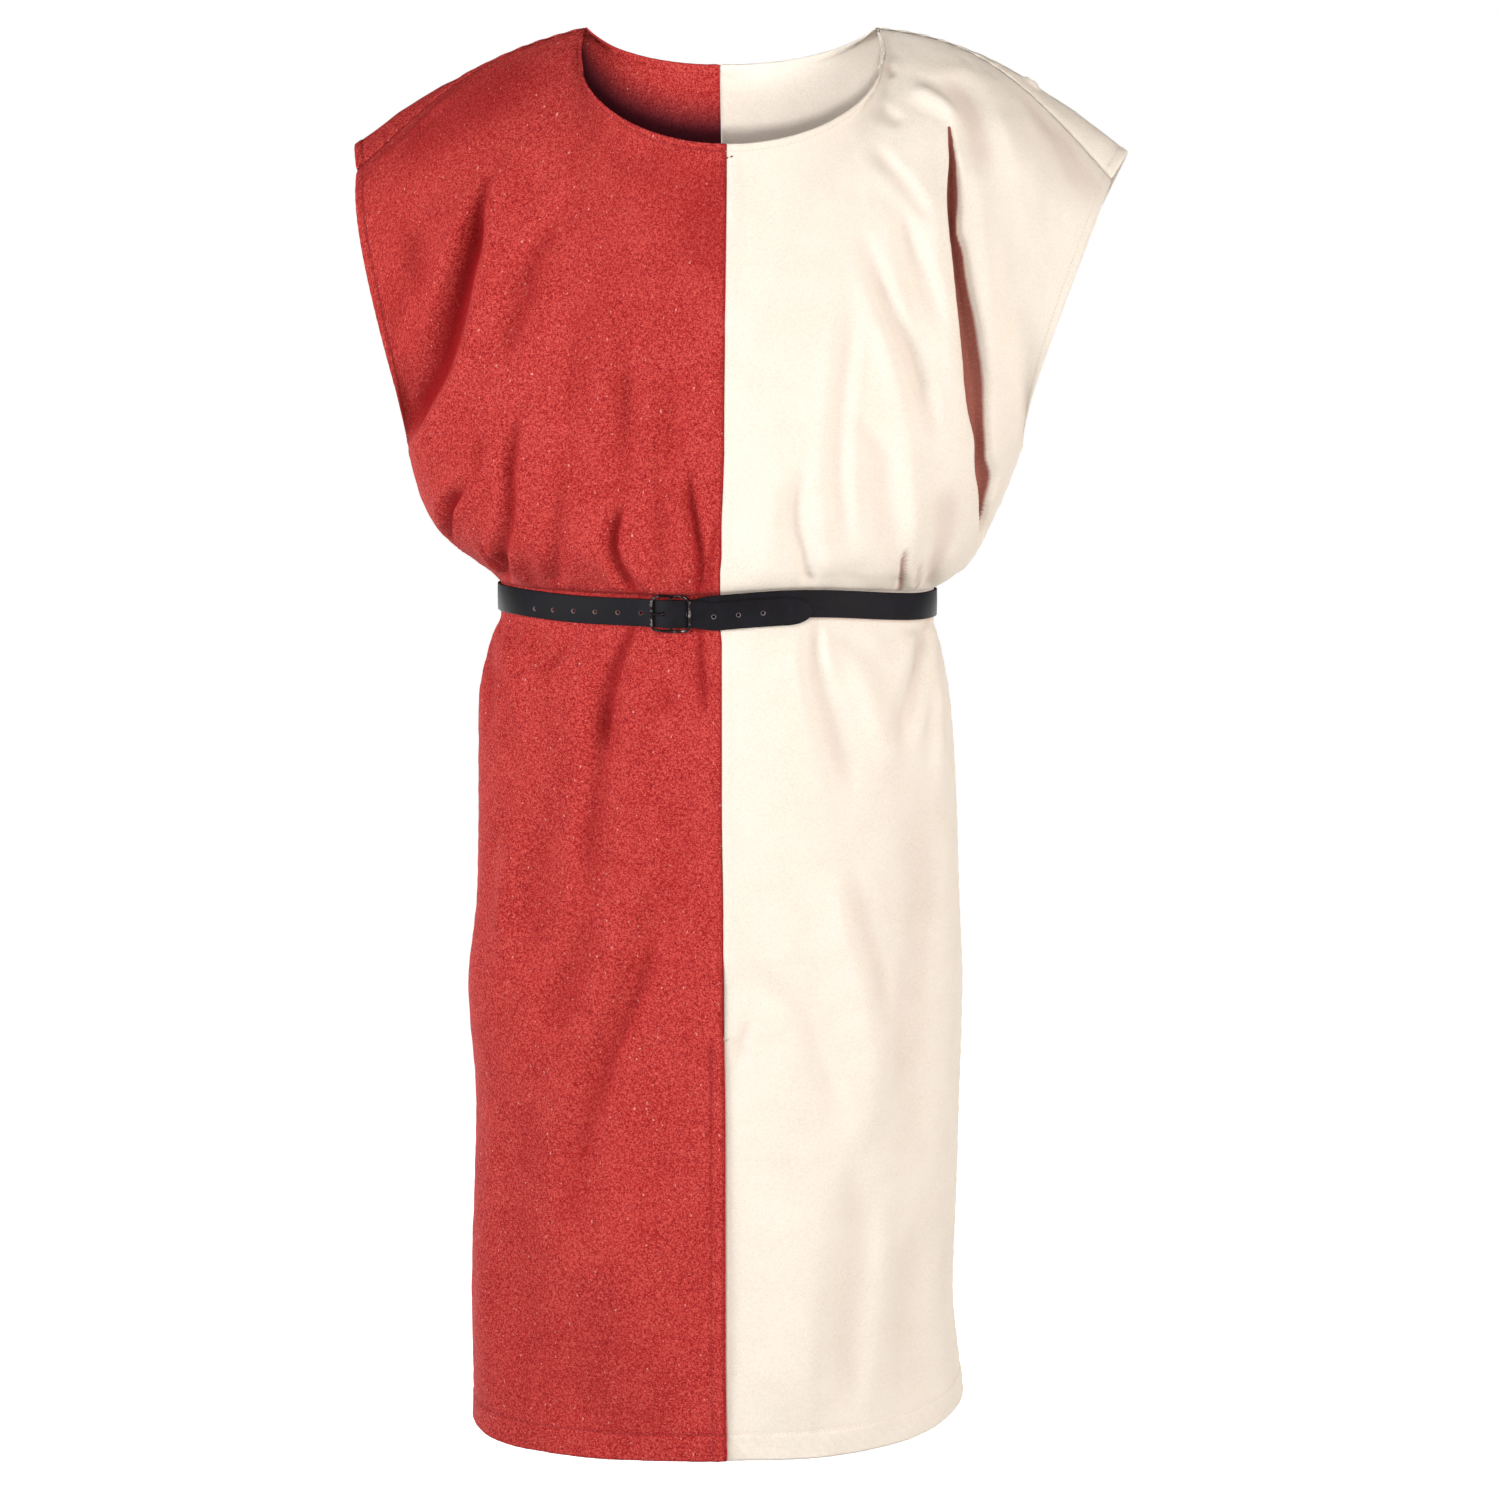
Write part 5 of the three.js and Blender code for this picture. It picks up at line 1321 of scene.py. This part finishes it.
def buildProng():
    at, z, radius, centre = belt["buckleX"], -belt["lapDrop"], buckle["ringRadius"], buckle["centreOut"]
    angle = 2 * math.pi * np.arange(buckle["ringPoints"] + 1) / buckle["ringPoints"]
    ring = aroundWaist(at + radius * np.cos(angle), centre + radius * np.sin(angle), z)
    ring[-1] = ring[0]
    hole, end = at + belt["prongHole"], at - buckle["halfWidth"]
    onFrame = centre + buckle["sideRise"] + buckle["barRadius"] + buckle["prongRadius"] + belt["gap"]
    path = spline([  # from the ring up through the hole and over the frame's end
        (at - radius * 0.7, centre + radius * 0.7), (hole + 0.6, onFrame - 2.6),
        (hole - 2.4, onFrame - 0.2), (end + 2, onFrame), (end - 0.8, onFrame)], buckle["prongStep"])
    tongue = aroundWaist(path[:, 0], path[:, 1], z)
    return joinRods("buckle_prong_metal", [
        (ring, buckle["ringRod"], buckle["ringSides"]),
        (tongue, rodEnds(buckle["prongRadius"], len(tongue)), buckle["sides"])])


strap = buildStrap()
buckleFrame = buildBuckle()
buckleProng = buildProng()
for metalPiece in (buckleFrame, buckleProng):
    metalPiece.data.materials.append(looks["metal"])
print("belt built", len(strap.data.polygons), "faces")


# Stitches are short threads set along lines on the cloth, in millimetres.
stitching = {
    "pitch": 3.2, "length": 2.5, "width": 0.62, "height": 0.42, "jitter": 0.12, "seed": 5, "sink": 0.02,
    "beadSegments": 6, "beadRings": 5, "endBelowNeck": 9.6, "endSteps": (0, 0.35, 0.7), "endSlant": 0.9,
}


def lineAtDistance(surface, axis, index, distance, fromEnd=False):
    # The point and normal at a distance along one row or column of the cloth.
    points, normals = (np.take(surface[key], index, axis=1 - axis) for key in ("points", "normals"))
    if fromEnd:
        points, normals = points[::-1], normals[::-1]
    length = np.concatenate([[0], np.cumsum(np.linalg.norm(np.diff(points, axis=0), axis=1))])
    spot = [np.interp(distance, length, points[:, k]) for k in range(3)]
    facing = np.array([np.interp(distance, length, normals[:, k]) for k in range(3)])
    return np.array(spot), facing / np.linalg.norm(facing)


def stitchLines(name):
    # The stitched lines of one panel: neck, armhole, bottom hem and, in front, the slit's edge.
    surface = surfaces[name]
    columns = surface["points"].shape[1]
    lines = [
        [lineAtDistance(surface, 0, j, cloth["neckHem"]) for j in range(surface["neckColumns"])],
        [lineAtDistance(surface, 1, i, cloth["armHem"], True) for i in range(2, surface["yokeRows"])],
        [lineAtDistance(surface, 0, j, cloth["bottomHem"], True) for j in range(1, columns - 1)],
    ]
    if name.startswith("front"):
        below = np.nonzero(surface["slitRows"])[0]
        width = cloth["slitHem"][panels[name][0]]
        lines.append([lineAtDistance(surface, 1, i, width) for i in below[1:-1]])
    return lines


def threadEnds():
    # Cut ends of red thread that lie beside the centre seam, just below the neck.
    surface, ends = surfaces["front_left_cream"], []
    for step in stitching["endSteps"]:
        down = stitching["endBelowNeck"] + step
        ends.append([lineAtDistance(surface, 0, j, down - stitching["endSlant"] * j) for j in range(2)])
    return ends


def stitchTree(material):
    tree = bpy.data.node_groups.new("stitches_along_lines", "GeometryNodeTree")
    face = tree.interface
    face.new_socket("Lines", in_out="INPUT", socket_type="NodeSocketGeometry")
    for label in ("Pitch", "Length", "Width", "Height", "Jitter"):
        face.new_socket(label, in_out="INPUT", socket_type="NodeSocketFloat")
    face.new_socket("Seed", in_out="INPUT", socket_type="NodeSocketInt")
    face.new_socket("Stitches", in_out="OUTPUT", socket_type="NodeSocketGeometry")

    def node(kind, settings=None, sockets=None):
        made = tree.nodes.new(kind)
        for key, value in (settings or {}).items():
            setattr(made, key, value)
        for key, value in (sockets or {}).items():
            if isinstance(value, bpy.types.NodeSocket):
                tree.links.new(value, made.inputs[key])
            else:
                made.inputs[key].default_value = value
        return made.outputs

    given = node("NodeGroupInput")
    curve = node("GeometryNodeMeshToCurve", None, {"Mesh": given["Lines"]})["Curve"]
    evenly = node("GeometryNodeResampleCurve", {"mode": "LENGTH"},
                  {"Curve": curve, "Length": given["Pitch"]})["Curve"]
    lie = node("GeometryNodeInputNamedAttribute", {"data_type": "FLOAT_VECTOR"},
               {"Name": "lie"})["Attribute"]
    tangent = node("GeometryNodeInputTangent")["Tangent"]
    along = node("FunctionNodeAlignRotationToVector", {"axis": "X"}, {"Vector": tangent})["Rotation"]
    facing = node("FunctionNodeAlignRotationToVector", {"axis": "Z", "pivot_axis": "X"},
                  {"Rotation": along, "Vector": lie})["Rotation"]
    size = node("ShaderNodeCombineXYZ", None,
                {"X": given["Length"], "Y": given["Width"], "Z": given["Height"]})["Vector"]
    low = node("ShaderNodeMath", {"operation": "SUBTRACT"}, {0: 1.0, 1: given["Jitter"]})[0]
    high = node("ShaderNodeMath", {"operation": "ADD"}, {0: 1.0, 1: given["Jitter"]})[0]
    uneven = node("FunctionNodeRandomValue", {"data_type": "FLOAT"},
                  {"Min": low, "Max": high, "Seed": given["Seed"]})
    scale = node("ShaderNodeVectorMath", {"operation": "SCALE"}, {0: size, "Scale": uneven[1]})[0]
    bead = node("GeometryNodeMeshUVSphere", None, {
        "Segments": stitching["beadSegments"], "Rings": stitching["beadRings"], "Radius": 0.5})["Mesh"]
    bead = node("GeometryNodeSetShadeSmooth", None, {"Geometry": bead})["Geometry"]
    placed = node("GeometryNodeInstanceOnPoints", None,
                  {"Points": evenly, "Instance": bead, "Rotation": facing, "Scale": scale})["Instances"]
    real = node("GeometryNodeRealizeInstances", None, {"Geometry": placed})["Geometry"]
    done = node("GeometryNodeSetMaterial", None, {"Geometry": real, "Material": material})["Geometry"]
    out = tree.nodes.new("NodeGroupOutput")
    tree.links.new(done, out.inputs["Stitches"])
    return tree


def buildStitches(name, lines, material):
    vertices, joins, lie = [], [], []
    for line in lines:
        start = len(vertices)
        vertices += [spot + facing * stitching["sink"] for spot, facing in line]
        lie += [facing for _, facing in line]
        joins += [(k, k + 1) for k in range(start, len(vertices) - 1)]
    mesh = bpy.data.meshes.new(name)
    mesh.from_pydata((np.array(vertices) * mm).tolist(), joins, [])
    attribute = mesh.attributes.new("lie", "FLOAT_VECTOR", "POINT")
    attribute.data.foreach_set("vector", np.array(lie, np.float32).ravel())
    piece = bpy.data.objects.new(name, mesh)
    bpy.context.scene.collection.objects.link(piece)
    sewing = piece.modifiers.new("sewing", "NODES")
    sewing.node_group = stitchTree(material)
    sizes = {key.capitalize(): stitching[key] * mm for key in ("pitch", "length", "width", "height")}
    sizes |= {"Jitter": stitching["jitter"], "Seed": stitching["seed"]}
    for socket in sewing.node_group.interface.items_tree:
        if socket.in_out == "INPUT" and socket.name in sizes:
            sewing[socket.identifier] = sizes[socket.name]
    piece.update_tag()
    bakeModifiers(piece)
    return piece


stitchPieces = {}
for side in ("red", "cream"):
    lines = []
    for name, (panelSide, _) in panels.items():
        lines += stitchLines(name) if panelSide == side else []
    if side == "red":
        lines += threadEnds()
    stitchPieces[side] = buildStitches(side + "_stitches", lines, looks[side + "Thread"])
    print(side, "stitches built", len(stitchPieces[side].data.polygons), "faces")


def placeFloor():
    half = studio["floorSize"] / 2
    z = studio["floorLevel"]
    corners = [(-half, -half, z), (half, -half, z), (half, half, z), (-half, half, z)]
    floor = makeMesh("floor", corners, [[0, 1, 2, 3]])
    floor.data.materials.append(floorLook())
    floor.visible_diffuse = False  # it shows white but sends no light up under the hem
    floor.visible_shadow = False  # and lets the low light through


placeFloor()
for name, (side, face) in panels.items():
    piece = clothPieces[name]
    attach(piece, rootBody)
    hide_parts(name)

for piece, nodes, finishSlot in (
    (strap, ["belt_strap"], "black_leather"), (buckleFrame, ["buckle_frame"], "buckle_metal"),
    (buckleProng, ["buckle_prong"], "buckle_metal"), (stitchPieces["red"], [], "red_cotton"),
    (stitchPieces["cream"], [], "cream_cotton"),
):
    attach(piece, rootBody)
    if nodes:
        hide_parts(*nodes)

for light in softLights:
    if "lights" in light:
        lit = bpy.data.collections.new(light["name"] + "_lit")
        for name, piece in clothPieces.items():
            if light["lights"] in name:
                lit.objects.link(piece)
        lamps[light["name"]].light_linking.receiver_collection = lit
